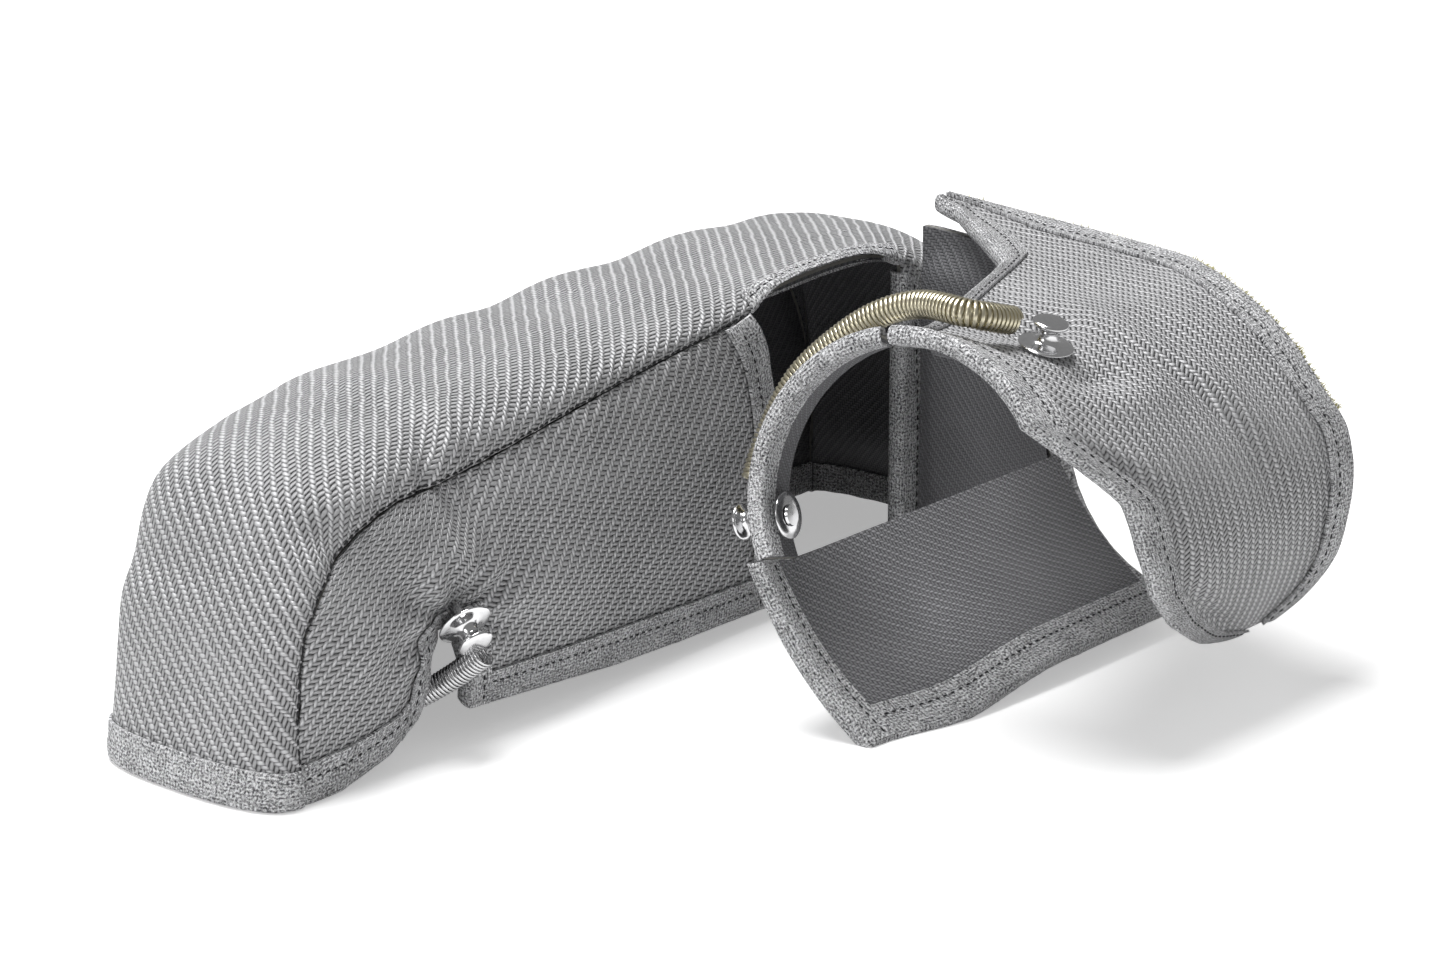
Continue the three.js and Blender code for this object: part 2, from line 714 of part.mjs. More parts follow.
// The skirt goes on from the collar's lower end, down and forward under the outlet
const skirtShares = [0, 0.18, 0.4, 0.62, 0.82, 1];
function skirtPoint(i, j) {
  const topLeft = ringPoint(collarEnd, 0);
  const topRight = ringPoint(collarEnd, collarWidth);
  const share = skirtShares[i];
  const left = mix(topLeft.x, skirtLeft, share);
  const places = [
    left, mix(topLeft.x + collarHem, skirtLeft + 11, share), mix(topRight.x, skirtLeft + 30, share),
    mix(190, 215, share), mix(235, 250, share), skirtRight,
  ];
  const x = places[j];
  const along = Math.min(1, (x - topLeft.x) / (topRight.x - topLeft.x));
  const start = topLeft.clone().lerp(topRight, i === 0 ? along : Math.min(1, along));
  const round = THREE.MathUtils.smoothstep(x, skirtLeft, 195);
  const foot = {
    y: mix(skirtTipY, skirtFrontY, round),
    z: skirtRise * THREE.MathUtils.smoothstep(x, 172, 240),
  };
  const sag = 4 * Math.sin(Math.PI * share);
  return vec(x, mix(start.y, foot.y, share) + sag * 0.8, mix(start.z, foot.z, share) - sag * 0.6);
}
const skirtRows = skirtShares.length - 1;
const skirtSheet = new Sheet({
  rows: skirtRows,
  columns: 5,
  point: skirtPoint,
  facing: (i, j) => (i === 0 && j <= 2 ? ringPoint(collarEnd, 0, 1).sub(outletCentre) : null),
  pressed: (i, j) => (i === 0 || j <= 1 || i >= skirtRows - 1 ? 1 : 0),
});

// Lacing posts: a turned spool on a broad foot, its stem through the wall to a washer behind
function postProfile(wall) {
  const foot = postBase / 2;
  const neck = postWaist / 2;
  const stem = stemDiameter / 2;
  const top = postBaseThickness + postHeight;
  const back = -(wall + washerThickness + 3 * layerGap);
  return [
    [0, back - 1], [rivetHead / 2, back - 0.8], [rivetHead / 2, back], [stem, back], [stem, 0],
    [foot - 0.3, 0], [foot, postBaseThickness * 0.6], [neck + 1.4, postBaseThickness + 0.3],
    [neck, postBaseThickness + 1.6], [neck, top - 2.8], [postHead / 2, top - 1.2],
    [postHead / 2 - 0.6, top - 0.2], [0, top],
  ].map(([r, z]) => new THREE.Vector2(r, z));
}

function latheSolid(profile, sides) {
  const geometry = new THREE.LatheGeometry(profile, sides);
  geometry.rotateX(Math.PI / 2);
  geometry.deleteAttribute('normal');
  geometry.deleteAttribute('uv');
  const merged = mergeVertices(geometry, 1e-4);
  const position = merged.attributes.position;
  const points = range(0, position.count - 1).map((k) => new THREE.Vector3().fromBufferAttribute(position, k));
  const triangles = [];
  for (let k = 0; k < merged.index.count; k += 3) {
    const [a, b, c] = [0, 1, 2].map((n) => merged.index.getX(k + n));
    if (a !== b && b !== c && c !== a) triangles.push([a, b, c]);
  }
  return solidFrom(points, triangles);
}

function addPost(name, seat, axis, wall) {
  addPiece(`${name}_post`, aim(latheSolid(postProfile(wall), 12), seat, axis), 'post');
  const bore = stemHole / 2;
  const rim = washerDiameter / 2;
  const near = -(wall + layerGap);
  const far = near - washerThickness;
  const ring = [[bore, near], [bore, far], [rim, far], [rim, near], [bore, near]];
  const washer = latheSolid(ring.map(([r, z]) => new THREE.Vector2(r, z)), 8);
  addPiece(`${name}_washer`, aim(washer, seat, axis), 'post');
}

function stemCutter(seat, axis, length) {
  const cutter = new THREE.CylinderGeometry(stemHole / 2, stemHole / 2, length, 8);
  cutter.rotateX(Math.PI / 2);
  return aim(cutter, seat, axis);
}

const fullWall = clothThickness + layerGap + feltThickness + layerGap + linerThickness;
const pressedWall = clothThickness + layerGap + pressedFelt + layerGap + linerThickness;

// The post on the barrel hood, upright on the crown of the barrel
const crownPostX = 199;
const crownPostAngle = 77;
const crownSection = barrelSection(crownPostAngle);
const crownPostAxis = vec(0, -Math.cos(degrees(crownPostAngle)), Math.sin(degrees(crownPostAngle)));
const crownPostLift = 1.8;
const crownPostSeat = vec(crownPostX, crownSection.y, crownSection.z)
  .addScaledVector(crownPostAxis, crownPostLift);
const crownCutter = stemCutter(crownPostSeat, crownPostAxis, 40);

// The post at the top of the slit, leaning forward and down with the fold above it
const slitPostAxis = vec(-0.12, -0.86, -0.46).normalize();
const slitPostLift = 6.6;
const slitPostSeat = vec(slitX, -1.2, 44.5).addScaledVector(slitPostAxis, slitPostLift);
const slitCutter = stemCutter(slitPostSeat, slitPostAxis, 40);

// The post that holds the top spring's other end, low on the outside of the collar
const collarPostAngle = 198;
const collarPostDepth = 9.5;
const collarPostAxis = ringPoint(collarPostAngle, 0, 1).sub(outletCentre);
const collarPostLift = tapeGap + tapeThickness + layerGap;
const collarPostSeat = ringPoint(collarPostAngle, collarPostDepth, outletRadius + collarPostLift);
const collarCutter = stemCutter(collarPostSeat, collarPostAxis, 30);

addSheet('long_hood_top', topSheet);
addSheet('front_wall', frontSheet, [slitCutter]);
addSheet('rear_wall', rearSheet);
addSheet('right_front_wall', sideSheet);
addSheet('barrel_hood', barrelSheet, [crownCutter]);
addSheet('outlet_collar', collarSheet, [collarCutter]);
addSheet('skirt', skirtSheet);

// Hems of the long hood
const acrossTop = range(0, topColumns);
addHem('left_end_hem', topSheet, acrossTop.map((j) => [[1, j], [0, j]]), { thin: thinAcross });
addHem('right_end_hem', topSheet, acrossTop.map((j) => [[topRows - 1, j], [topRows, j]]), { thin: thinAcross });
addHem('window_top_hem', topSheet,
  range(windowLeft + 1, windowRight - 1).map((k) => [[k, 2], [k, 1], [k, 0]]), { slack: 0.7 });
addHem('front_hem_left', frontSheet, range(0, slitLeft).map((i) => [[1, i], [0, i]]));
addHem('front_hem_right', frontSheet,
  range(slitRight, frontColumns).map((i) => [[1, i], [0, i]]), { thin: [4] });
addHem('slit_left_hem', frontSheet, range(1, slitTopRow).map((j) => [[j, slitLeft - 1], [j, slitLeft]]));
addHem('slit_right_hem', frontSheet, range(1, slitTopRow).map((j) => [[j, slitRight + 1], [j, slitRight]]));
addHem('window_left_hem', frontSheet,
  range(1, frontRows - 1).map((j) => [[j, frontColumns - 1], [j, frontColumns]]));
addHem('rear_hem', rearSheet, range(0, rearSheet.columns).map((i) => [[1, i], [0, i]]));
addHem('right_front_hem', sideSheet, range(0, sideSheet.columns).map((i) => [[1, i], [0, i]]));
addHem('window_right_hem', sideSheet, range(1, frontRows - 1).map((j) => [[j, 1], [j, 0]]));

// Hems of the barrel hood, the collar and the skirt
const leftEdge = (from, to) => range(from, to).map((i) => [[i, 1], [i, 0]]);
const rightEdge = (from, to) =>
  range(from, to).map((i) => [[i, barrelColumns - 1], [i, barrelColumns]]);
addHem('cutout_hem', barrelSheet, leftEdge(0, outletFirst));
addHem('outlet_hem', barrelSheet, leftEdge(outletFirst, outletLast), { thin: [1, 5] });
addHem('flap_hem', barrelSheet, leftEdge(outletLast, 18), { slack: 0.6 });
addHem('rim_lower_hem', barrelSheet, rightEdge(0, 6));
addHem('rim_upper_hem', barrelSheet, rightEdge(6, 18), { thin: [2, 6] });
addHem('collar_hem', collarSheet, range(0, collarRows).map((i) => [[i, 1], [i, 0]]));
addHem('skirt_side_hem', skirtSheet, range(0, skirtRows - 1).map((i) => [[i, 1], [i, 0]]));
addHem('skirt_front_hem', skirtSheet, range(0, 5).map((j) => [[skirtRows - 1, j], [skirtRows, j]]));

// The right cheek closes the side between the barrel's rim and the long hood
const cheekTop = (y) => leavePoint.z + (y - leavePoint.y) * leaveSlope - cheekTopDrop;
function cheekOutline(bore) {
  const start = Math.acos((cheekFront - barrelY) / bore);
  const steps = 10;
  const arc = range(0, steps).map((k) => {
    const angle = mix(start, -start, k / steps);
    return new THREE.Vector2(barrelY + bore * Math.cos(angle), barrelZ + bore * Math.sin(angle));
  });
  return arc;
}
function plateAcross(outline, from, to) {
  const shape = new THREE.Shape(outline);
  const geometry = new THREE.ExtrudeGeometry(shape, { depth: to - from, bevelEnabled: false });
  // The outline is drawn in Y and Z, and the plate grows along X
  const turn = new THREE.Matrix4().makeBasis(vec(0, 1, 0), vec(0, 0, 1), vec(1, 0, 0));
  geometry.applyMatrix4(turn);
  geometry.translate(from, 0, 0);
  return geometry;
}
const cheekShape = [
  ...cheekOutline(cheekBore),
  new THREE.Vector2(cheekFront, footLevel),
  new THREE.Vector2(cheekRear, footLevel),
  new THREE.Vector2(cheekRear, cheekTop(cheekRear)),
  new THREE.Vector2(cheekFront, cheekTop(cheekFront)),
];
const cheekLiner = [cheekX, cheekX + linerThickness];
const cheekFelt = [cheekLiner[1] + layerGap, cheekLiner[1] + layerGap + feltThickness];
const cheekCloth = [cheekFelt[1] + layerGap, cheekFelt[1] + layerGap + clothThickness];
addPiece('right_cheek_cloth', plateAcross(cheekShape, ...cheekCloth), 'cloth');
addPiece('right_cheek_felt', plateAcross(cheekShape, ...cheekFelt), 'felt');
addPiece('right_cheek_liner', plateAcross(cheekShape, ...cheekLiner), 'liner');
const bindingOutline = [
  ...cheekOutline(cheekBore - seamGap),
  ...cheekOutline(cheekBore - seamGap - cheekBinding).reverse(),
];
addPiece('rim_rear_binding', plateAcross(bindingOutline, cheekX, cheekCloth[1]), 'tape');

// Posts
addPost('crown', crownPostSeat, crownPostAxis, fullWall + 2.6);
addPost('slit', slitPostSeat, slitPostAxis, pressedWall + 11.5);
addPost('collar', collarPostSeat, collarPostAxis, pressedWall + 4.5);

// A coil spring: one wire that winds round a path, with closed ends
function springSolid(path, turns, radius, wire) {
  const curve = new THREE.CatmullRomCurve3(path);
  const steps = turns * 7;
  const frames = curve.computeFrenetFrames(steps, false);
  const centres = range(0, steps).map((k) => {
    const angle = (2 * Math.PI * k * turns) / steps;
    return curve.getPointAt(k / steps)
      .addScaledVector(frames.normals[k], radius * Math.cos(angle))
      .addScaledVector(frames.binormals[k], radius * Math.sin(angle));
  });
  const sides = 3;
  const points = [];
  centres.forEach((centre, k) => {
    const along = centres[Math.min(k + 1, steps)].clone().sub(centres[Math.max(k - 1, 0)]).normalize();
    const hub = curve.getPointAt(k / steps);
    const outward = centre.clone().sub(hub);
    outward.addScaledVector(along, -outward.dot(along)).normalize();
    const across = along.clone().cross(outward);
    for (let n = 0; n < sides; n += 1) {
      const angle = (2 * Math.PI * n) / sides;
      points.push(centre.clone()
        .addScaledVector(outward, (wire / 2) * Math.cos(angle))
        .addScaledVector(across, (wire / 2) * Math.sin(angle)));
    }
  });
  const triangles = [[0, 2, 1]];
  for (let k = 0; k < steps; k += 1) {
    for (let n = 0; n < sides; n += 1) {
      const a = k * sides + n;
      const b = k * sides + ((n + 1) % sides);
      triangles.push([a, b, b + sides], [a, b + sides, a + sides]);
    }
  }
  const end = steps * sides;
  triangles.push([end, end + 1, end + 2]);
  return solidFrom(points, triangles);
}

const coilRadius = (springDiameter - springWire) / 2;
const springLift = outletRadius + layerGap + springDiameter / 2;
const topSpringPath = [
  ringPoint(186, collarPostDepth + 1, springLift + 0.6),
  ringPoint(170, 13.5, springLift + 0.4),
  ringPoint(150, 13.5, springLift + 0.3),
  ringPoint(130, 13.5, springLift + 0.3),
  ringPoint(114, 13.5, springLift + 2.1),
  ringPoint(100, 14, springLift + 3.2),
  vec(176, -113.5, 135.2),
  vec(184, -118, 132.8),
  vec(191.5, -119, 130.6),
];
addPiece('top_spring', springSolid(topSpringPath, topSpringTurns, coilRadius, springWire), 'spring');

const slitSpringPath = [vec(67.5, -12, 30), vec(64.5, -5, 25.5), vec(58.5, 4, 20), vec(51, 12, 15), vec(43, 17.5, 11.5)];
addPiece('slit_spring', springSolid(slitSpringPath, slitSpringTurns, coilRadius * 0.9, springWire), 'spring');

// The middle of the base stands at the origin
const box = new THREE.Box3().setFromObject(blanket);
const middle = box.getCenter(vec(0, 0, 0));
blanket.position.set(-middle.x, -middle.y, -box.min.z);

export default blanket;
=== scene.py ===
"""Looks of a fitted turbo heat blanket: twill cloth, knitted binding, lacing posts and springs."""
import math
import bpy
import numpy as np
from mathutils import Matrix, Vector


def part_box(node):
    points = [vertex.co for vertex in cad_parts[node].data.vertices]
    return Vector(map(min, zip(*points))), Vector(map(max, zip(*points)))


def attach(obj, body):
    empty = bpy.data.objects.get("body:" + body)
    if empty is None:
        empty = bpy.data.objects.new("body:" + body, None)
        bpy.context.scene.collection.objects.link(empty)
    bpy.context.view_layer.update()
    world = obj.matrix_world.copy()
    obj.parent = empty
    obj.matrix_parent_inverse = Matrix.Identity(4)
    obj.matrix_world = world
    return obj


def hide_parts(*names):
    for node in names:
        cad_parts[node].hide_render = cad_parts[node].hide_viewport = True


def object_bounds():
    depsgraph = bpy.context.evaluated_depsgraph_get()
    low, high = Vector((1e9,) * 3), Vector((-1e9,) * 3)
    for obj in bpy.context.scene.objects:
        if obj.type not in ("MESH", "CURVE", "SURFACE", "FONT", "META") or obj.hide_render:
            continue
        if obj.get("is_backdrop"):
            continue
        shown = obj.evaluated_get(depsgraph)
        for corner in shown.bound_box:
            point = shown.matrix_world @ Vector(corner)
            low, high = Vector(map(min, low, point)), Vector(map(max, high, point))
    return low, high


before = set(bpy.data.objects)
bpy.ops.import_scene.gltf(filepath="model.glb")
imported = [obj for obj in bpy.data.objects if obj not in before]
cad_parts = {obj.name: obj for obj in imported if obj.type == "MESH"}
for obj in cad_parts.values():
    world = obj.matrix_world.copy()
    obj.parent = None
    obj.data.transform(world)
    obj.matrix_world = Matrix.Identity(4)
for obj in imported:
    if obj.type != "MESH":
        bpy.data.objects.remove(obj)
cad_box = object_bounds()

# The surfaces below are worked out in the blanket's own millimetres: X from the left hem's
# seam, Y from the long hood's front face, Z from the bottom edges. The cheek says where that is:
# its liner starts at X 296, ends at Y -1.8 and stands at Z -1.1.
CHEEK_LOW, CHEEK_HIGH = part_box("right_cheek_liner")
SHIFT = np.array([CHEEK_LOW[0] * 1000 - 296.0, CHEEK_HIGH[1] * 1000 + 1.8, CHEEK_LOW[2] * 1000 + 1.1])

# Sizes in millimetres
YARN = 1.35
CLOTH = 1.0
FELT = 5.0
PRESSED_FELT = 1.2
LINER = 0.8
GAP = 0.25
TAPE = 0.9
HEM_WALL = CLOTH + PRESSED_FELT + LINER + 2 * GAP
HOOD_DEPTH = 79.0
BARREL_RADIUS = 62.0
BARREL_Y = -112.0
BARREL_Z = 60.0
LEAVE = 87.0
CHEEK_BORE = 53.8
CHEEK_FRONT = -100.0
OUTLET_RADIUS = 51.7
OUTLET_CENTRE = np.array([150.0, -107.0, 81.0])
FLARE_END = 205.0
STITCH = 3.4
THREAD = 0.35
NEEDLE_PULL = 0.45
SPRING_BEND = 7.0

# Shares: where a tape's stitches run between its border and its edge, and how much of each
# stitch shows
STITCH_ROW = 0.36
SHOWING = 0.7

# Samples along a wall, from which its cloth is rolled out
SAMPLES_U, SAMPLES_V = 160, 80

# Degrees between two faces past which the edge is hard, on sewn pieces and on all others
SEWN_EDGE, HARD_EDGE = 55, 60


# Small tools for arrays

def unit(v):
    """Each vector divided by its length."""
    return v / np.maximum(np.linalg.norm(v, axis=-1, keepdims=True), 1e-9)


def through(values, at):
    """A smooth curve through values at 0, 1, 2...: Catmull-Rom's cubic on each stretch."""
    values = np.asarray(values, float)
    at = np.clip(np.asarray(at, float), 0, len(values) - 1)
    k = np.minimum(at.astype(int), len(values) - 2)
    f = at - k
    f = f[..., None] if values.ndim > 1 else f
    a, b = values[np.maximum(k - 1, 0)], values[k]
    c, d = values[k + 1], values[np.minimum(k + 2, len(values) - 1)]
    return b + 0.5 * f * (c - a + f * (2 * a - 5 * b + 4 * c - d + f * (3 * (b - c) + d - a)))


def bump(x, centre, width):
    """A hill of height 1: e to the minus square of the distance in widths."""
    return np.exp(-(((x - centre) / width) ** 2))


def smooth(x, low, high):
    """0 below low, 1 above high, and the smooth cubic step between."""
    t = np.clip((x - low) / (high - low), 0, 1)
    return t * t * (3 - 2 * t)


def ripple(x, y, size, seed):
    """Gentle unevenness from -1 to 1: five sine waves of about the given length, turned about."""
    turn = np.random.default_rng(seed)
    total = np.zeros(np.broadcast(x, y).shape)
    for _ in range(5):
        angle, phase = turn.uniform(0, math.pi), turn.uniform(0, 2 * math.pi)
        rate = 2 * math.pi / (size * turn.uniform(0.7, 1.4))
        total = total + np.sin(rate * (x * math.cos(angle) + y * math.sin(angle)) + phase)
    return total / 3


# The long hood's stations from the left hem over the crown to the right hem:
# the front seam's X and Z, the lean of the rise from upright, and the rise to the crown
STATIONS = np.array([
    (1, 0, -90, 14.5), (1, 12.5, -90, 12.3), (1.5, 23, -88, 10), (2.5, 36, -84, 8.4),
    (5, 50, -72, 8.6), (12.5, 63, -55, 13), (23, 75.5, -32, 19.5), (42, 83, -12, 20.5),
    (54, 84.2, -5, 21), (63, 85, -2, 21.2), (69, 85.7, 0, 21.8), (84, 87.5, 0, 21.5),
    (110, 91.5, 0, 18.6), (138, 96, 0, 14.6), (168, 100.5, 0, 11.8), (196, 104, 0, 9.8),
    (209, 107, 0, 7.5), (224, 114, 0, 1), (250, 116, 0, 0.2), (272, 114.5, 0, 1.5),
    (291, 107, 2, 8), (302, 101, 6, 12), (316, 88, 30, 20), (325, 73, 52, 15),
    (331, 58, 72, 10.5), (334.5, 42, 84, 9), (335.3, 27, 88, 9), (335.5, 13, 90, 9.3),
    (335.5, 0, 90, 10),
])
LAST = len(STATIONS) - 1
LEFT_END, RIGHT_END = STATIONS[0, 0], STATIONS[-1, 0]
LEFT_CORNER, WINDOW_LEFT, WINDOW_RIGHT, RIGHT_CORNER = 6, 16, 20, 22
REAR_KNOTS = np.array([(6, 75.5), (8, 84.2), (11, 87.5), (13, 94.2), (15, 98), (20, 94), (22, 88)])
WALL_ROWS = np.array([0, 0.16, 0.3, 0.45, 0.62, 0.81, 1])


def seam(k):
    """The front seam's X and Z at a station."""
    return through(STATIONS[:, :2], k)


def rear_seam(k):
    """The rear seam: as the front one round the ends, and its own lower line along the crown."""
    place = seam(k).copy()
    line = through(REAR_KNOTS[:, 1], np.interp(k, REAR_KNOTS[:, 0], range(len(REAR_KNOTS))))
    share = smooth(k, 5.5, 6.5) * (1 - smooth(k, 21.5, 22.5))
    place[..., 1] = place[..., 1] * (1 - share) + line * share
    return place


def hood_top(k, turn):
    """The long hood's top: at each station half a superellipse of power 2.6 from the front seam
    over the crown to the rear seam, for turn from 0 to 180 degrees."""
    k, turn = np.broadcast_arrays(k, np.radians(turn))
    lean, rise = np.radians(through(STATIONS[:, 2], k)), through(STATIONS[:, 3], k)
    power = 2 / 2.6
    across = np.sign(np.cos(turn)) * np.abs(np.cos(turn)) ** power
    height = np.abs(np.sin(turn)) ** power
    front, rear = seam(k), rear_seam(k)
    half = smooth(turn, math.pi / 2 - 0.4, math.pi / 2 + 0.4)[..., None]
    foot = front * (1 - half) + rear * half
    crown = front + rise[..., None] * np.stack([np.sin(lean), np.cos(lean)], -1)
    place = foot + (crown - foot) * height[..., None]
    return np.stack([place[..., 0], HOOD_DEPTH / 2 * (1 - across), place[..., 1]], -1)


FRONT_HEM = np.array([
    (1, 0), (17, 0.5), (37, 5.5), (50, 14), (74, 10.5), (88, 9.5), (112, 8), (142, 5.5),
    (174, 4.6), (208.5, 4.3), (221, 4),
])
WINDOW_SIDE = np.array([(221, 4), (222, 17), (222.6, 31), (223, 48), (222.5, 68), (218, 90), (209, 107)])
FRONT_LAST = len(FRONT_HEM) - 1
SLIT_LEFT, SLIT_RIGHT = 3, 4
SLIT_X, SLIT_HALF, SLIT_TOP = 66.0, 3.6, 0.45


def front_wall(i, share):
    """The front wall: straight lines from its hem to the seam, drawn over at both ends to the
    left seam and the window's side, parted at the slit, and pillowed, with the fold over the
    slit's post and the hollow under it."""
    i, share = np.broadcast_arrays(np.asarray(i, float), np.asarray(share, float))
    hem = np.stack([np.interp(i, range(len(FRONT_HEM)), FRONT_HEM[:, n]) for n in (0, 1)], -1)
    top = seam(LEFT_CORNER + i)
    place = hem + (top - hem) * share[..., None]
    row = np.interp(share, WALL_ROWS, range(len(WALL_ROWS)))
    fade = np.interp(i, range(4), [1, 0.5, 0.15, 0])[..., None]
    start = FRONT_HEM[0] + (seam(LEFT_CORNER) - FRONT_HEM[0]) * share[..., None]
    place = place + fade * (seam(row) - start)
    fade = np.interp(FRONT_LAST - i, range(4), [1, 0.85, 0.4, 0])[..., None]
    end = FRONT_HEM[-1] + (seam(WINDOW_LEFT) - FRONT_HEM[-1]) * share[..., None]
    place = place + fade * (through(WINDOW_SIDE, row) - end)
    # The slit's two lips leave their straight columns, and the cloth beside them goes along
    x = place[..., 0]
    for column, lip in ((SLIT_LEFT, SLIT_X - SLIT_HALF), (SLIT_RIGHT, SLIT_X + SLIT_HALF)):
        low, high = FRONT_HEM[column, 0], seam(LEFT_CORNER + column)[0]
        line = np.where(share < SLIT_TOP, low + (lip - low) * share / SLIT_TOP,
                        lip + (high - lip) * (share - SLIT_TOP) / (1 - SLIT_TOP))
        x = x + (line - low - (high - low) * share) * np.clip(1 - np.abs(i - column), 0, 1)
    z = place[..., 1]
    span = np.clip((x - 2) / 216, 0, 1)
    pillow = 4.5 * np.sin(math.pi * np.clip(share, 0, 1)) ** 0.8 * np.sin(math.pi * span) ** 0.5
    fold = 5 * bump(x, SLIT_X, 15) * bump(z, 62, 11)
    hollow = 6 * bump(x, SLIT_X, 12) * bump(z, 37, 11)
    inside = np.minimum(1, np.minimum(i, 1)) * smooth(1 - share, 0, 0.1)
    y = -(pillow + (fold - hollow) * inside)
    return np.stack([x, y, z], -1)


def plain_wall(i, share, y, side, left, right, top, hem, pillow):
    """A wall between four edges: each point is drawn between its hem and seam, and over to
    the left and right edges by how near they are."""
    i, share = np.broadcast_arrays(np.asarray(i, float), np.asarray(share, float))
    foot, head, s = hem(i), top(i), share[..., None]
    zero, one = np.zeros(i.shape), np.ones(i.shape)
    place = foot + (head - foot) * s
    place += (1 - i[..., None]) * (left(share) - (hem(zero) + (top(zero) - hem(zero)) * s))
    place += i[..., None] * (right(share) - (hem(one) + (top(one) - hem(one)) * s))
    depth = y + side * pillow * np.sin(math.pi * share) * np.sin(math.pi * i)
    return np.stack([place[..., 0], depth, place[..., 1]], -1)


def rows(share, first, last):
    """The station beside a wall's row, from first at the hem to last at the corner."""
    row = np.interp(share, WALL_ROWS, range(len(WALL_ROWS)))
    return first + (last - first) * row / (len(WALL_ROWS) - 1)


def rear_wall(i, share):
    """The rear wall, for i from 0 at the left to 1 at the right."""
    return plain_wall(
        i, share, HOOD_DEPTH, 1,
        lambda s: seam(rows(s, 0, LEFT_CORNER)), lambda s: seam(rows(s, LAST, RIGHT_CORNER)),
        lambda t: rear_seam(LEFT_CORNER + (RIGHT_CORNER - LEFT_CORNER) * t),
        lambda t: np.stack([LEFT_END + (RIGHT_END - LEFT_END) * t, 0 * t], -1), 3.0)


def right_front_wall(i, share):
    """The front wall's part to the right of the window, whose side goes straight up."""
    side, top = STATIONS[WINDOW_RIGHT, :2]
    return plain_wall(
        i, share, 0.0, -1,
        lambda s: np.stack([side + 0 * s, top * s], -1), lambda s: seam(rows(s, LAST, RIGHT_CORNER)),
        lambda t: seam(WINDOW_RIGHT + (RIGHT_CORNER - WINDOW_RIGHT) * t),
        lambda t: np.stack([side + (RIGHT_END - side) * t, 0 * t], -1), 0.5)


# The outlet ring, on the outlet's tilted plane
OUTLET_AXIS = unit(np.array([-0.96, -0.105, 0.261]))
RING_FRONT = unit(np.array([0, -1.0, 0]) + OUTLET_AXIS[1] * OUTLET_AXIS)
RING_UP = np.cross(OUTLET_AXIS, RING_FRONT)


def ring(angle, depth=0.0, radius=OUTLET_RADIUS):
    """A point on a circle round the outlet's axis, angles from the front upward."""
    angle, depth, radius = np.broadcast_arrays(np.radians(angle), depth, radius)
    spoke = RING_FRONT * np.cos(angle)[..., None] + RING_UP * np.sin(angle)[..., None]
    return OUTLET_CENTRE - OUTLET_AXIS * depth[..., None] + spoke * radius[..., None]


def barrel_section(s):
    """Y and Z of the barrel's section: a circle up to the leaving angle, then straight back."""
    a, leave = np.radians(np.minimum(s, LEAVE)), math.radians(LEAVE)
    past = np.maximum(s - LEAVE, 0)
    y = BARREL_Y - BARREL_RADIUS * np.cos(a) + past
    z = BARREL_Z + BARREL_RADIUS * np.sin(a) + past / math.tan(leave)
    return y, z


# Rows of the barrel hood: the angle or the way along, the left edge (on the ring where
# it is 0), the right edge
BARREL = np.array([
    (-42, 262, 283), (-34, 234, 291), (-21, 211, 298), (-8, 196, 299), (6, 189.5, 301),
    (20, 187, 301), (29, 176, 297), (38, 0, 295), (50, 0, 295), (63, 0, 296), (76, 0, 299),
    (87, 0, 304), (95, 0, 308), (103, 0, 310), (121, 215, 311), (138, 262, 311),
    (162, 282, 311), (183, 298, 311), (198, 305, 311),
], float)
ON_RING = BARREL[:, 1] == 0
BARREL[ON_RING, 1] = ring(BARREL[ON_RING, 0])[..., 0]
RING_FIRST, RING_LAST = np.flatnonzero(ON_RING)[[0, -1]]
BARREL_LAST = len(BARREL) - 1


def barrel_row(i):
    """The way round, left edge and right edge at a row."""
    s = through(BARREL[:, 0], i)
    left = np.interp(i, range(len(BARREL)), BARREL[:, 1])
    on_ring = (i >= RING_FIRST) & (i <= RING_LAST)
    left = np.where(on_ring, ring(s)[..., 0], left)
    return s, left, through(BARREL[:, 2], i)


def barrel_hood(i, t):
    """The barrel hood: round the barrel's section for row i, and from the left edge to the
    right edge for t from 0 to 1, flared out from the outlet ring to the section."""
    i, t = np.broadcast_arrays(np.asarray(i, float), np.asarray(t, float))
    s, left, right = barrel_row(i)
    hoop = ring(s)
    x = left + (right - left) * t
    y, z = barrel_section(s)
    reach = np.clip((x - hoop[..., 0]) / (FLARE_END - hoop[..., 0]), 0, 1)
    flare = 1 - (1 - reach) ** 2
    flare = np.maximum(flare, smooth(s, 103, 116))
    return np.stack([x, hoop[..., 1] + (y - hoop[..., 1]) * flare,
                     hoop[..., 2] + (z - hoop[..., 2]) * flare], -1)


COLLAR_START, COLLAR_END, COLLAR_WIDTH = 107.0, 213.0, 17.0
COLLAR_SLANT = 0.45
SKIRT_RIGHT = 295.85


def outlet_collar(t, d):
    """The collar: a band of the ring's circle for t round it and d across it, both 0 to 1."""
    depth = COLLAR_WIDTH * np.asarray(d, float)
    start = COLLAR_START + COLLAR_SLANT * depth
    return ring(start + (COLLAR_END - start) * t, depth)


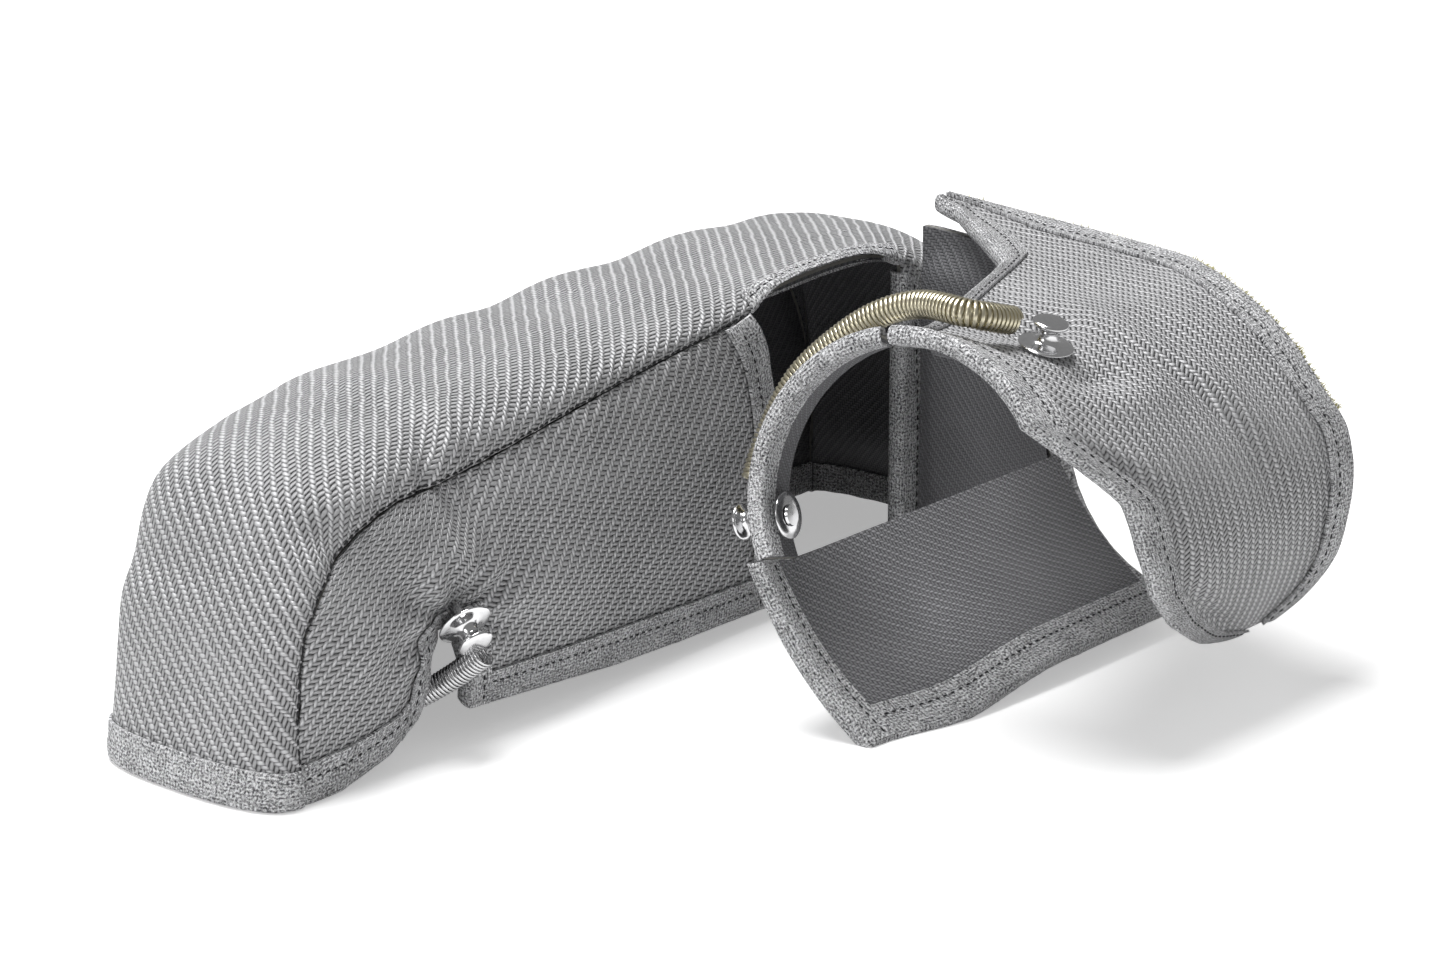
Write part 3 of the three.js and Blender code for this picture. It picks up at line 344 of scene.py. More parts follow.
def skirt(t, j):
    """The skirt: a ramp from the collar's lower end to its free front hem, for t down it and j
    from its left edge to the cheek."""
    t, j = np.broadcast_arrays(np.asarray(t, float), np.asarray(j, float))
    top_left, top_right = ring(COLLAR_END, 0.0), ring(COLLAR_END, COLLAR_WIDTH)
    tops = [top_left[0], top_left[0] + 8, top_right[0], 190, 235, SKIRT_RIGHT]
    ends = [150, 161, 180, 215, 250, SKIRT_RIGHT]
    start = np.interp(j * 5, range(6), tops)
    x = start + (np.interp(j * 5, range(6), ends) - start) * t
    along = np.clip((x - top_left[0]) / (top_right[0] - top_left[0]), 0, 1)
    head = top_left + (top_right - top_left) * along[..., None]
    foot_y = -99 - 9 * smooth(x, 150, 195)
    foot_z = 7 * smooth(x, 172, 240)
    sag = 4 * np.sin(math.pi * t)
    y = head[..., 1] + (foot_y - head[..., 1]) * t + sag * 0.8
    z = head[..., 2] + (foot_z - head[..., 2]) * t - sag * 0.6
    return np.stack([x, y, z], -1)


# Walls as sewn

class Wall:
    """A wall: a surface over u and v, which way is out, its relief, how far its felt is pressed,
    how its twill is turned and mirrored, and how it rolls out where its own grid isn't square."""

    def __init__(self, place, u, v, out, relief=None, pressed=None, weave=None, unrolled=None):
        self.place, self.u, self.v, self.out = place, u, v, out
        self.relief = relief or (lambda u, v, p: 0.0 * u)
        self.pressed = pressed or (lambda u, v: 0.0 * u)
        self.turned, self.mirrored = weave or (0.0, 1.0)
        self.unrolled = unrolled
        # The cloth's own millimetres: mean way along u, and the way along v at each u
        us, vs = np.linspace(*u, SAMPLES_U), np.linspace(*v, SAMPLES_V)
        grid = place(us[:, None], vs[None, :])
        step_u = np.linalg.norm(np.diff(grid, axis=0), axis=-1).mean(1)
        step_v = np.linalg.norm(np.diff(grid, axis=1), axis=-1)
        self.us, self.vs = us, vs
        self.way_u = np.r_[0, np.cumsum(step_u)]
        self.way_v = np.c_[np.zeros(len(us)), np.cumsum(step_v, axis=1)]
        self.way_v -= self.way_v[:, [SAMPLES_V // 2]]

    def cloth_place(self, u, v):
        """Millimetres along and across the flat cloth, turned to the twill's own threads."""
        u, v = np.broadcast_arrays(u, v)
        fu = (u - self.us[0]) / (self.us[-1] - self.us[0]) * (SAMPLES_U - 1)
        fv = (v - self.vs[0]) / (self.vs[-1] - self.vs[0]) * (SAMPLES_V - 1)
        fu, fv = np.clip(fu, 0, SAMPLES_U - 1.001), np.clip(fv, 0, SAMPLES_V - 1.001)
        a, b = fu.astype(int), fv.astype(int)
        p, q = fu - a, fv - b
        w = self.way_v
        across = ((w[a, b] * (1 - p) + w[a + 1, b] * p) * (1 - q)
                  + (w[a, b + 1] * (1 - p) + w[a + 1, b + 1] * p) * q)
        along = self.way_u[a] * (1 - p) + self.way_u[a + 1] * p
        if self.unrolled:
            along, across = self.unrolled(u, v)
        along = along * self.mirrored
        c, s = math.cos(self.turned), math.sin(self.turned)
        return np.stack([along * c - across * s, along * s + across * c], -1)

    def normal(self, u, v):
        """The way out: the cross product of two short steps along u and v."""
        du, dv = (self.u[1] - self.u[0]) * 2e-3, (self.v[1] - self.v[0]) * 2e-3
        low_u, high_u = np.clip(u - du, *self.u), np.clip(u + du, *self.u)
        low_v, high_v = np.clip(v - dv, *self.v), np.clip(v + dv, *self.v)
        along = self.place(high_u, v) - self.place(low_u, v)
        across = self.place(u, high_v) - self.place(u, low_v)
        return self.out * unit(np.cross(along, across))

    def at(self, u, v, depth):
        """The point at a depth below the cloth's outside."""
        u, v = np.broadcast_arrays(np.asarray(u, float), np.asarray(v, float))
        base = self.place(u, v)
        lift = self.relief(u, v, base) - depth
        return base + self.normal(u, v) * np.asarray(lift)[..., None]

    def felt(self, u, v):
        """The felt's thickness: full, or pressed thin at hems and seams."""
        return FELT + (PRESSED_FELT - FELT) * np.clip(self.pressed(u, v), 0, 1)


# Meshes

def mesh_piece(name, points, faces, material, cloth_map=None):
    """A mesh from points in blanket millimetres, smooth, with hard edges kept. A sewn piece has
    its cloth map too, in millimetres of the flat cloth."""
    mesh = bpy.data.meshes.new(name)
    points = (np.asarray(points).reshape(-1, 3) + SHIFT) / 1000
    mesh.from_pydata(points.tolist(), [], faces if isinstance(faces, list) else faces.tolist())
    mesh.polygons.foreach_set("use_smooth", np.ones(len(mesh.polygons), bool))
    mesh.set_sharp_from_angle(angle=math.radians(HARD_EDGE if cloth_map is None else SEWN_EDGE))
    if cloth_map is not None:
        layer = mesh.uv_layers.new(name="cloth_mm")
        loops = np.empty(len(mesh.loops), int)
        mesh.loops.foreach_get("vertex_index", loops)
        layer.data.foreach_set("uv", np.asarray(cloth_map).reshape(-1, 2)[loops].ravel())
    mesh.materials.append(material)
    mesh.update()
    piece = bpy.data.objects.new(name, mesh)
    bpy.context.collection.objects.link(piece)
    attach(piece, "root")
    return piece


def tube_faces(rings, around, base=0):
    """Faces of a closed tube: a band between each ring of points and the next, and two ends."""
    index = base + np.arange(rings * around).reshape(rings, around)
    ahead = np.roll(index, -1, 1)
    bands = np.stack([index[:-1], ahead[:-1], ahead[1:], index[1:]], -1).reshape(-1, 4)
    return bands.tolist() + [index[0, ::-1].tolist(), index[-1].tolist()]


def slab(upper, lower, solid=None):
    """Points and faces of a closed slab between two grids, and each point's place in its grid.
    Cells where solid is false are open."""
    n, m = upper.shape[:2]
    solid = np.ones((n - 1, m - 1), bool) if solid is None else solid
    index = np.arange(n * m).reshape(n, m)
    a, b, c, d = index[:-1, :-1], index[1:, :-1], index[1:, 1:], index[:-1, 1:]
    top = np.stack([a, b, c, d], -1)[solid]
    bottom = np.stack([a, d, c, b], -1)[solid] + n * m
    margin = np.pad(solid, 1)
    sides = []
    for cells, edge_a, edge_b in (
            (solid & ~margin[:-2, 1:-1], d, a), (solid & ~margin[2:, 1:-1], b, c),
            (solid & ~margin[1:-1, :-2], a, b), (solid & ~margin[1:-1, 2:], c, d)):
        p, q = edge_a[cells], edge_b[cells]
        sides.append(np.stack([q, p, p + n * m, q + n * m], -1))
    faces = np.concatenate([top, bottom, *sides])
    points = np.concatenate([upper.reshape(-1, 3), lower.reshape(-1, 3)])
    used, faces = np.unique(faces, return_inverse=True)
    return points[used], faces.reshape(-1, 4), used % (n * m)


def layers(name, wall, us, vs, solid=None, cloth=None):
    """Cloth, felt and liner of one wall, each a closed slab, and each in its CAD node's place.
    Felt and liner have a coarser grid than the cloth, but on a wall with an opening."""
    for kind, skip, material in (
            ("cloth", 1, cloth or twill), ("felt", 3, felt_wool), ("liner", 2, lining)):
        skip = skip if solid is None else 1
        picks_u = np.unique(np.r_[np.arange(0, len(us), skip), len(us) - 1])
        picks_v = np.unique(np.r_[np.arange(0, len(vs), skip), len(vs) - 1])
        u, v = np.broadcast_arrays(us[picks_u][:, None], vs[picks_v][None, :])
        felt = wall.felt(u, v)
        start = {"cloth": 0 * felt, "felt": 0 * felt + CLOTH + GAP,
                 "liner": CLOTH + 2 * GAP + felt}[kind]
        thick = {"cloth": CLOTH, "felt": felt, "liner": LINER}[kind]
        upper, lower = wall.at(u, v, start), wall.at(u, v, start + thick)
        if wall.out < 0:
            upper, lower = lower, upper
        points, faces, used = slab(upper, lower, solid)
        flat = wall.cloth_place(u, v).reshape(-1, 2)[used]
        piece = mesh_piece(f"{name}_{kind}_sewn", points, faces, material, flat)
        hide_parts(f"{name}_{kind}")
        if kind == "felt":
            continue


# Each sewn line: its points, the way up at each, the stitch's length, the thread's width, and
# the share of the length that shows
STITCH_LINES = []


def binding(name, wall, border, edge, over=GAP, swell=0.0):
    """Tape folded over a wall's free edge. border and edge are the wall's u and v along the
    tape's inner border and along the edge. The section runs over the cloth, round the edge
    in half an ellipse, and back under the liner. It lies the height over off the wall, and its
    middle stands out by swell."""
    legs = np.linspace(0, 1, 8)

    def at(share, depth):
        u, v = (border + (edge - border) * share).T
        return wall.at(u, v, depth)

    rim = at(1.0, HEM_WALL / 2)
    way = np.r_[0, np.cumsum(np.linalg.norm(np.diff(rim, axis=0), axis=1))]
    normal = wall.normal(edge[:, 0], edge[:, 1])
    tangent = unit(np.gradient(rim, axis=0))
    beyond = unit(np.cross(tangent, normal))
    inward = at(0.8, HEM_WALL / 2) - rim
    beyond = np.where((beyond * inward).sum(-1, keepdims=True) > 0, -beyond, beyond)
    # The fold of the tape is uneven, and the needle pulls it down along the stitches
    uneven = 0.35 * ripple(way, 0 * way, 9, len(name)) + 0.2 * ripple(way, 0 * way, 3.7, 5)
    stations = []
    for far in (TAPE, 0.0):
        height = over + far
        section = []
        for share in legs:
            needle = NEEDLE_PULL * bump(share, STITCH_ROW, 0.1) if far else 0.0
            puff = swell * np.sin(math.pi * share) if far else 0.0
            section.append(at(share, -(height + puff - needle)))
        radius = HEM_WALL / 2 + height
        for angle in np.radians([60, 30, 0, -30, -60]):
            reach = (0.5 + height * 0.75) * np.cos(angle) * (1 + 0.25 * uneven)
            section.append(rim + normal * (radius * math.sin(angle)) + beyond * reach[:, None])
        for share in legs[::-1][::2]:
            section.append(at(share, HEM_WALL + height))
        stations.append(np.stack(section, 1))
    outer, inner = stations
    loop = np.concatenate([outer, inner[:, ::-1]], 1)
    n, m = loop.shape[:2]
    index = np.arange(n * m).reshape(n, m)
    ahead = np.roll(index, -1, 1)
    sides = np.stack([index[:-1], ahead[:-1], ahead[1:], index[1:]], -1).reshape(-1, 4)
    half = m // 2
    strip = np.stack([index[:, :half - 1], index[:, 1:half],
                      index[:, ::-1][:, 1:half], index[:, ::-1][:, :half - 1]], -1)
    faces = np.concatenate([sides, strip[0][:, ::-1], strip[-1]])
    step = np.linalg.norm(np.diff(loop[n // 2, :half], axis=0), axis=1)
    across = np.r_[0, np.cumsum(step)]
    flat = np.stack(np.broadcast_arrays(way[:, None], np.r_[across, across[::-1]][None, :]), -1)
    volume = signed_volume(loop.reshape(-1, 3), faces)
    faces = faces if volume > 0 else faces[:, ::-1]
    piece = mesh_piece(f"{name}_tape", loop.reshape(-1, 3), faces, tape_knit, flat)
    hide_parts(name)
    up = unit(at(STITCH_ROW, -9.0) - at(STITCH_ROW, 0.0))
    STITCH_LINES.append((at(STITCH_ROW, -(over + TAPE - THREAD)), up, STITCH, THREAD, SHOWING))


def signed_volume(points, faces):
    """Six times the volume that a mesh of four-sided faces holds."""
    a, b, c, d = (points[faces[:, n]] for n in range(4))
    return (np.cross(a, b) * c).sum() + (np.cross(a, c) * d).sum()


def stitches(name, lines):
    """Thread along sewn lines: each stitch is a low six-sided hump from hole to hole."""
    points, faces = [], []
    around = np.radians(np.arange(0, 360, 60))
    for path, up, length, width, share in lines:
        way = np.r_[0, np.cumsum(np.linalg.norm(np.diff(path, axis=0), axis=1))]
        starts = np.arange(length * 0.5, way[-1] - length, length)
        jitter = 0.12 * length * np.sin(7.3 * np.arange(len(starts)))
        for t in starts + jitter:
            spots = np.linspace(t, t + length * share, 5)
            centre = np.stack([np.interp(spots, way, path[:, n]) for n in range(3)], -1)
            lift = np.stack([np.interp(spots, way, up[:, n]) for n in range(3)], -1)
            along = unit(np.gradient(centre, axis=0))
            side = unit(np.cross(along, lift))
            rise = np.array([-0.5, 0.1, 0.3, 0.1, -0.5]) * width
            thick = np.array([0.35, 0.9, 1.0, 0.9, 0.35]) * width
            hoop = (side[:, None] * np.cos(around)[None, :, None]
                    + lift[:, None] * np.sin(around)[None, :, None])
            body = (centre + lift * rise[:, None])[:, None] + hoop * thick[:, None, None]
            faces += tube_faces(len(thick), len(around), base=len(points) * len(thick) * len(around))
            points.append(body.reshape(-1, 3))
    piece = mesh_piece(name, np.concatenate(points), faces, thread)


# Materials

def colour(code):
    """A six-figure sRGB hex value as linear red, green, blue and 1."""
    parts = [int(code[n:n + 2], 16) / 255 for n in (1, 3, 5)]
    return [p / 12.92 if p <= 0.04045 else ((p + 0.055) / 1.055) ** 2.4 for p in parts] + [1.0]


def node(tree, kind, inputs=(), out=0, **settings):
    """Adds one node with its settings and links, and gives back one of its outputs."""
    made = tree.nodes.new(kind)
    for key, value in settings.items():
        setattr(made, key, value)
    pairs = inputs.items() if isinstance(inputs, dict) else enumerate(inputs)
    for key, value in pairs:
        if isinstance(value, bpy.types.NodeSocket):
            tree.links.new(value, made.inputs[key])
        else:
            made.inputs[key].default_value = value
    return made.outputs[out] if made.outputs else made


def new_material(name):
    """An empty material and its node tree."""
    material = bpy.data.materials.new(name)
    material.use_nodes = True
    material.node_tree.nodes.clear()
    return material, material.node_tree


def finish_material(tree, shader):
    """Joins a shader to the material's output."""
    node(tree, "ShaderNodeOutputMaterial", {"Surface": shader})


def woven(name, pitch, low, high, depth, roughness, metallic, contrast, wobble, painted_wale_light):
    """A 2/2 twill. Warp and weft threads are each a sine along the thread, over two and under two, plus a
    round section across it, and the higher of the two shows. The colour follows that height: painted
    shade darkens the gaps, and a painted highlight lightens the yarns' tops."""
    material, tree = new_material(name)
    uv = node(tree, "ShaderNodeUVMap", uv_map="cloth_mm")
    sway = node(tree, "ShaderNodeTexNoise", {"Vector": uv, "Scale": 0.16, "Detail": 2.0}, out=1)
    sway = node(tree, "ShaderNodeVectorMath", [sway, (0.5, 0.5, 0.5)], operation="SUBTRACT")
    sway = node(tree, "ShaderNodeVectorMath", {0: sway, "Scale": wobble}, operation="SCALE")
    place = node(tree, "ShaderNodeVectorMath", [uv, sway], operation="ADD")
    place = node(tree, "ShaderNodeVectorMath", {0: place, "Scale": 1 / pitch}, operation="SCALE")
    split = node(tree, "ShaderNodeSeparateXYZ", [place], out=0)
    x, y = split, split.node.outputs[1]
    heights = []
    for along, across, shift, sign in ((y, x, 0.0, 1.0), (x, y, 1.0, -1.0)):
        thread_no = node(tree, "ShaderNodeMath", [across], operation="FLOOR")
        phase = node(tree, "ShaderNodeMath", [along, thread_no], operation="SUBTRACT")
        phase = node(tree, "ShaderNodeMath", [phase, shift], operation="ADD")
        phase = node(tree, "ShaderNodeMath", [phase, math.pi / 2], operation="MULTIPLY")
        wave = node(tree, "ShaderNodeMath", [phase], operation="SINE")
        wave = node(tree, "ShaderNodeMath", [wave, 0.42 * sign], operation="MULTIPLY")
        inside = node(tree, "ShaderNodeMath", [across], operation="FRACT")
        inside = node(tree, "ShaderNodeMath", [inside, 2.0, -1.0], operation="MULTIPLY_ADD")
        inside = node(tree, "ShaderNodeMath", [inside, inside], operation="MULTIPLY")
        arch = node(tree, "ShaderNodeMath", [1.0, inside], operation="SUBTRACT")
        arch = node(tree, "ShaderNodeMath", [arch, 0.7], operation="POWER")
        heights.append(node(tree, "ShaderNodeMath", [arch, 0.5, wave], operation="MULTIPLY_ADD"))
    surface = node(tree, "ShaderNodeMath", heights, operation="MAXIMUM")
    # The warp's floats lie in diagonal rows, the wales, and stand higher than the weft's. Besides the
    # bump, the wales are painted lighter as a painted highlight, and the rows between them darker as
    # painted shade.
    wale = node(tree, "ShaderNodeMath", [y, x], operation="SUBTRACT")
    wale = node(tree, "ShaderNodeMath", [wale, math.pi / 2, -math.pi / 4], operation="MULTIPLY_ADD")
    wale = node(tree, "ShaderNodeMath", [wale], operation="COSINE")
    fibre = node(tree, "ShaderNodeTexNoise", {"Vector": place, "Scale": 6.0, "Detail": 3.0})
    ground = node(tree, "ShaderNodeTexNoise", {"Vector": uv, "Scale": 0.035, "Detail": 4.0})
    # Painted light: the thread height sets the colour, with the dark colour in the gaps as painted shade
    # and the light one on the yarn tops as a painted highlight. The fibre and ground noise add uneven
    # tone.
    painted_light_and_tone = node(tree, "ShaderNodeMapRange", {0: surface, 1: 0.08, 2: contrast, 3: 0.0, 4: 1.0})
    painted_light_and_tone = node(tree, "ShaderNodeMath", [fibre, 0.3, painted_light_and_tone], operation="MULTIPLY_ADD")
    painted_light_and_tone = node(tree, "ShaderNodeMath", [ground, 0.25, painted_light_and_tone], operation="MULTIPLY_ADD")
    # Painted highlight along the wales and painted shade between them
    painted_light_and_tone = node(tree, "ShaderNodeMath", [wale, painted_wale_light, painted_light_and_tone], operation="MULTIPLY_ADD")
    painted_light_and_tone = node(tree, "ShaderNodeMath", [painted_light_and_tone, 0.42], operation="SUBTRACT")
    shade = node(tree, "ShaderNodeMix", {0: painted_light_and_tone, 6: colour(low), 7: colour(high)}, out=2,
                 data_type="RGBA")
    raised = node(tree, "ShaderNodeMath", [fibre, 0.12, surface], operation="MULTIPLY_ADD")
    raised = node(tree, "ShaderNodeMath", [wale, 0.3, raised], operation="MULTIPLY_ADD")
    normal = node(tree, "ShaderNodeBump", {"Strength": 1.0, "Distance": depth, "Height": raised})
    shader = node(tree, "ShaderNodeBsdfPrincipled", {
        "Base Color": shade, "Roughness": roughness, "Metallic": metallic, "Normal": normal})
    finish_material(tree, shader)
    return material


def knitted(name, low, high, depth):
    """Fine knitted tape: loops 1.25 mm wide in rows 1.1 mm high, each a pair of slanted arms. A
    sine along the row bends the sine across it, and noise makes no two loops quite alike."""
    material, tree = new_material(name)
    uv = node(tree, "ShaderNodeUVMap", uv_map="cloth_mm")
    sway = node(tree, "ShaderNodeTexNoise", {"Vector": uv, "Scale": 0.7, "Detail": 2.0}, out=1)
    sway = node(tree, "ShaderNodeVectorMath", {0: sway, "Scale": 1.8}, operation="SCALE")
    place = node(tree, "ShaderNodeVectorMath", [uv, sway], operation="ADD")
    split = node(tree, "ShaderNodeSeparateXYZ", [place], out=0)
    x, y = split, split.node.outputs[1]
    column = node(tree, "ShaderNodeMath", [x, 2 * math.pi / 1.25], operation="MULTIPLY")
    row = node(tree, "ShaderNodeMath", [y, 2 * math.pi / 1.1], operation="MULTIPLY")
    arm = node(tree, "ShaderNodeMath", [column], operation="SINE")
    arm = node(tree, "ShaderNodeMath", [arm, arm], operation="MULTIPLY")
    bend = node(tree, "ShaderNodeMath", [arm, 2.6, row], operation="MULTIPLY_ADD")
    wave = node(tree, "ShaderNodeMath", [bend], operation="SINE")
    ribs = node(tree, "ShaderNodeMath", [column], operation="COSINE")
    loops = node(tree, "ShaderNodeMath", [wave, 0.2, 0.5], operation="MULTIPLY_ADD")
    loops = node(tree, "ShaderNodeMath", [ribs, 0.1, loops], operation="MULTIPLY_ADD")
    grain = node(tree, "ShaderNodeTexNoise", {"Vector": uv, "Scale": 1.15, "Detail": 3.0})
    ground = node(tree, "ShaderNodeTexNoise", {"Vector": uv, "Scale": 0.12, "Detail": 3.0})
    # The loop pattern sets the colour: the holes between the arms get the dark colour as painted shade,
    # and the grain noise adds uneven speckle
    painted_light_and_tone = node(tree, "ShaderNodeMath", [grain, 2.4, loops], operation="MULTIPLY_ADD")
    painted_light_and_tone = node(tree, "ShaderNodeMath", [ground, 0.5, painted_light_and_tone], operation="MULTIPLY_ADD")
    painted_light_and_tone = node(tree, "ShaderNodeMapRange", {0: painted_light_and_tone, 1: 1.5, 2: 2.25, 3: 0.0, 4: 1.0})
    shade = node(tree, "ShaderNodeMix", {0: painted_light_and_tone, 6: colour(low), 7: colour(high)}, out=2,
                 data_type="RGBA")
    normal = node(tree, "ShaderNodeBump", {"Strength": 1.0, "Distance": depth, "Height": painted_light_and_tone})
    shader = node(tree, "ShaderNodeBsdfPrincipled", {
        "Base Color": shade, "Roughness": 0.62, "Metallic": 0.1, "Normal": normal})
    finish_material(tree, shader)
    return material


def metal(name, shade, roughness, streak):
    """Bright metal with faint turning marks."""
    material, tree = new_material(name)
    place = node(tree, "ShaderNodeTexCoord", out=3)
    marks = node(tree, "ShaderNodeTexNoise", {"Vector": place, "Scale": 900.0, "Detail": 4.0})
    rough = node(tree, "ShaderNodeMath", [marks, streak, roughness], operation="MULTIPLY_ADD")
    darker = [c * 0.82 for c in colour(shade)[:3]] + [1]
    tint = node(tree, "ShaderNodeMix", {0: marks, 6: darker, 7: colour(shade)}, out=2,
                data_type="RGBA")
    shader = node(tree, "ShaderNodeBsdfPrincipled", {
        "Base Color": tint, "Metallic": 1.0, "Roughness": rough})
    finish_material(tree, shader)
    return material


def soft(name, low, high, scale):
    """Loose fibres: an uneven matt colour."""
    material, tree = new_material(name)
    place = node(tree, "ShaderNodeTexCoord", out=3)
    marks = node(tree, "ShaderNodeTexNoise", {"Vector": place, "Scale": scale, "Detail": 5.0})
    tint = node(tree, "ShaderNodeMix", {0: marks, 6: colour(low), 7: colour(high)}, out=2,
                data_type="RGBA")
    normal = node(tree, "ShaderNodeBump", {"Strength": 0.6, "Distance": 0.0004, "Height": marks})
    shader = node(tree, "ShaderNodeBsdfPrincipled", {
        "Base Color": tint, "Roughness": 0.9, "Normal": normal})
    finish_material(tree, shader)
    return material


# Silica-coated glass-fibre cloth, 2/2 twill of thick yarn: grey. The dull silver shine on the yarns is
# partly the coating's own gloss and partly a painted highlight in the light colour, and the gaps are
# painted nearly black as painted shade
twill = woven("coated_glass_twill", YARN, "#131314", "#d8d8da", 0.0012, 0.48, 0.12, 0.82, 1.8, 0.27)
# The lining is the same fibre in a finer and darker cloth
lining = woven("lining_twill", 0.9, "#232325", "#77777a", 0.0003, 0.6, 0.1, 0.8, 0.6, 0.1)
# The skirt shows the finer side of the same cloth, in darker colours that are painted shade: the shadow
# the metal outlet casts on it
skirt_twill_painted_shade = woven("fine_side_twill_painted_shade", 1.0, "#1c1c1e", "#a2a2a5", 0.0005, 0.55, 0.12, 0.85, 1.6, 0.15)
# Knitted stainless and glass tape: lighter than the cloth, with its small holes painted dark as painted
# shade
tape_knit = knitted("knitted_wire_tape", "#3c3c3f", "#f2f2f4", 0.0006)
felt_wool = soft("needled_felt", "#6f6e6b", "#94928c", 700.0)
thread = soft("dark_sewing_thread", "#1c1c1e", "#3a3a3c", 2500.0)
fringe_yarn = soft("yellowed_glass_fibre", "#8f8a5a", "#d8d29a", 900.0)
polished = metal("polished_stainless", "#dfdfe0", 0.1, 0.1)
yellowed_wire = metal("yellowed_spring_wire", "#ddd6bd", 0.27, 0.12)
bright_wire = metal("bright_spring_wire", "#cfcfd0", 0.2, 0.12)


# Walls

def seam_dip(way, deep=1.3, broad=3.5):
    """The cloth drawn in at a sewn seam, by the distance from it."""
    return -deep * np.exp(-way / broad)


def top_relief(k, turn, p):
    """The long hood's unevenness: its front and rear seams drawn in, fine puckers along the front
    one, and single dents. along is the way over the stations in millimetres."""
    way = np.minimum(p[..., 1], HOOD_DEPTH - p[..., 1])
    from_front = np.hypot(p[..., 1], p[..., 2] - seam(k)[..., 1])
    hem = 1 - smooth(k, 1, 2) + smooth(k, LAST - 2, LAST - 1)
    in_window = (smooth(k, WINDOW_LEFT - 0.4, WINDOW_LEFT + 0.2)
                 * (1 - smooth(k, WINDOW_RIGHT - 0.2, WINDOW_RIGHT + 0.4)) * (turn < 70))
    free = np.clip(1 - hem - in_window, 0, 1)
    along = through(np.r_[0, np.cumsum(np.hypot(*np.diff(STATIONS[:, :2], axis=0).T))], k)
    lift = seam_dip(from_front) * free * (turn < 90) + seam_dip(way) * (turn > 90)
    lift = lift + free * 0.5 * ripple(along, p[..., 1], 34, 3) * (1 - np.exp(-way / 12))
    pucker = np.sin(along * 2 * math.pi / 11 + 1.5 * np.sin(along / 17))
    lift = lift + free * 0.45 * pucker * bump(from_front, 5, 7) * (turn < 90)
    # The dimple by the corner, the kink over the slit, and the dents across the left shoulder
    front_side = free * (turn < 90)
    lift = lift - front_side * 3.2 * bump(along, 78, 6) * bump(from_front, 9, 6)
    lift = lift + front_side * 1.6 * bump(along, 88, 7) * bump(from_front, 13, 8)
    lift = lift - front_side * 1.8 * bump(along - 0.5 * from_front, 116, 4) * bump(from_front, 8, 12)
    lift = lift + front_side * 1.3 * bump(along - 0.5 * from_front, 124, 6) * bump(from_front, 12, 12)
    lift = lift - free * 1.6 * bump(along, 60, 7) * np.exp(-((p[..., 1] - 60) / 26) ** 2)
    lift = lift + free * 0.9 * np.sin(along / 9.5) * bump(p[..., 1], 62, 30) * smooth(along, 90, 130)
    return lift


def top_pressed(k, turn):
    """1 where the felt is pressed: under both end hems and the window's top hem, and mostly
    beside the front and the rear seam."""
    ends = 1 - smooth(k, 0.8, 1.8) * (1 - smooth(k, LAST - 1.8, LAST - 0.8))
    window = (smooth(k, WINDOW_LEFT - 1.2, WINDOW_LEFT - 0.4)
              * (1 - smooth(k, WINDOW_RIGHT + 0.4, WINDOW_RIGHT + 1.2)))
    seams = 0.8 * (1 - smooth(turn, 6, 22)) + 0.8 * smooth(turn, 158, 174)
    return ends + window * (1 - smooth(turn, 40, 62)) + seams


top_wall = Wall(hood_top, (0, LAST), (0, 180), 1.0, top_relief, top_pressed)
ks = np.linspace(0, LAST, 250)
turns = np.degrees(np.linspace(0, 1, 61) * math.pi)
layers("long_hood_top", top_wall, ks, turns)


def front_relief(i, share, p):
    """The front wall's unevenness: its top and left seams drawn in, puckers below the top one,
    folds round the slit and broad swellings. Its columns are about 16 mm apart."""
    from_seam = np.minimum((1 - share) * 82, 40)
    from_left = i * 16
    along = p[..., 0] + p[..., 2] * 0.5
    lift = seam_dip(from_seam) + seam_dip(from_left)
    lift = lift + 0.45 * ripple(p[..., 0], p[..., 2], 30, 8) * np.clip(share * 4, 0, 1)
    pucker = np.sin(along * 2 * math.pi / 9)
    lift = lift + 0.4 * pucker * bump(from_seam, 5, 6)
    # Folds that the post's pull spreads like a fan over the slit and on to the left
    x, z = p[..., 0] - SLIT_X, p[..., 2] - 40
    reach, turn = np.hypot(x, z), np.arctan2(z, x)
    fan = np.sin(turn * 9 + 0.8) * bump(reach, 20, 11) + 0.7 * np.sin(turn * 6 + 2) * bump(reach, 38, 13)
    lift = lift + 1.3 * fan * smooth(z, -22, -6) * smooth((1 - share) * 80, 2, 10)
    lift = lift + 2.2 * bump(p[..., 0], 28, 15) * bump(p[..., 2], 40, 24)
    lift = lift - 1.6 * bump(p[..., 0] - 0.3 * p[..., 2], 30, 5) * bump(p[..., 2], 48, 20)
    return lift + 2.0 * bump(p[..., 0], 112, 26) * bump(p[..., 2], 40, 24)


def front_pressed(i, share):
    """1 where the felt is pressed: under the hems below, at the window and round the slit, and
    mostly beside the top and the left seam."""
    hems = 1 - smooth(share, 0.14, 0.26) * smooth(FRONT_LAST - i, 1.0, 1.8)
    from_slit = np.abs(i - (SLIT_LEFT + SLIT_RIGHT) / 2)
    slit = (1 - smooth(from_slit, 1.4, 2.2)) * (1 - smooth(share, 0.42, 0.55))
    return hems + slit + 0.8 * (1 - smooth(1 - share, 0.02, 0.12)) + 0.8 * (1 - smooth(i, 0.1, 0.6))


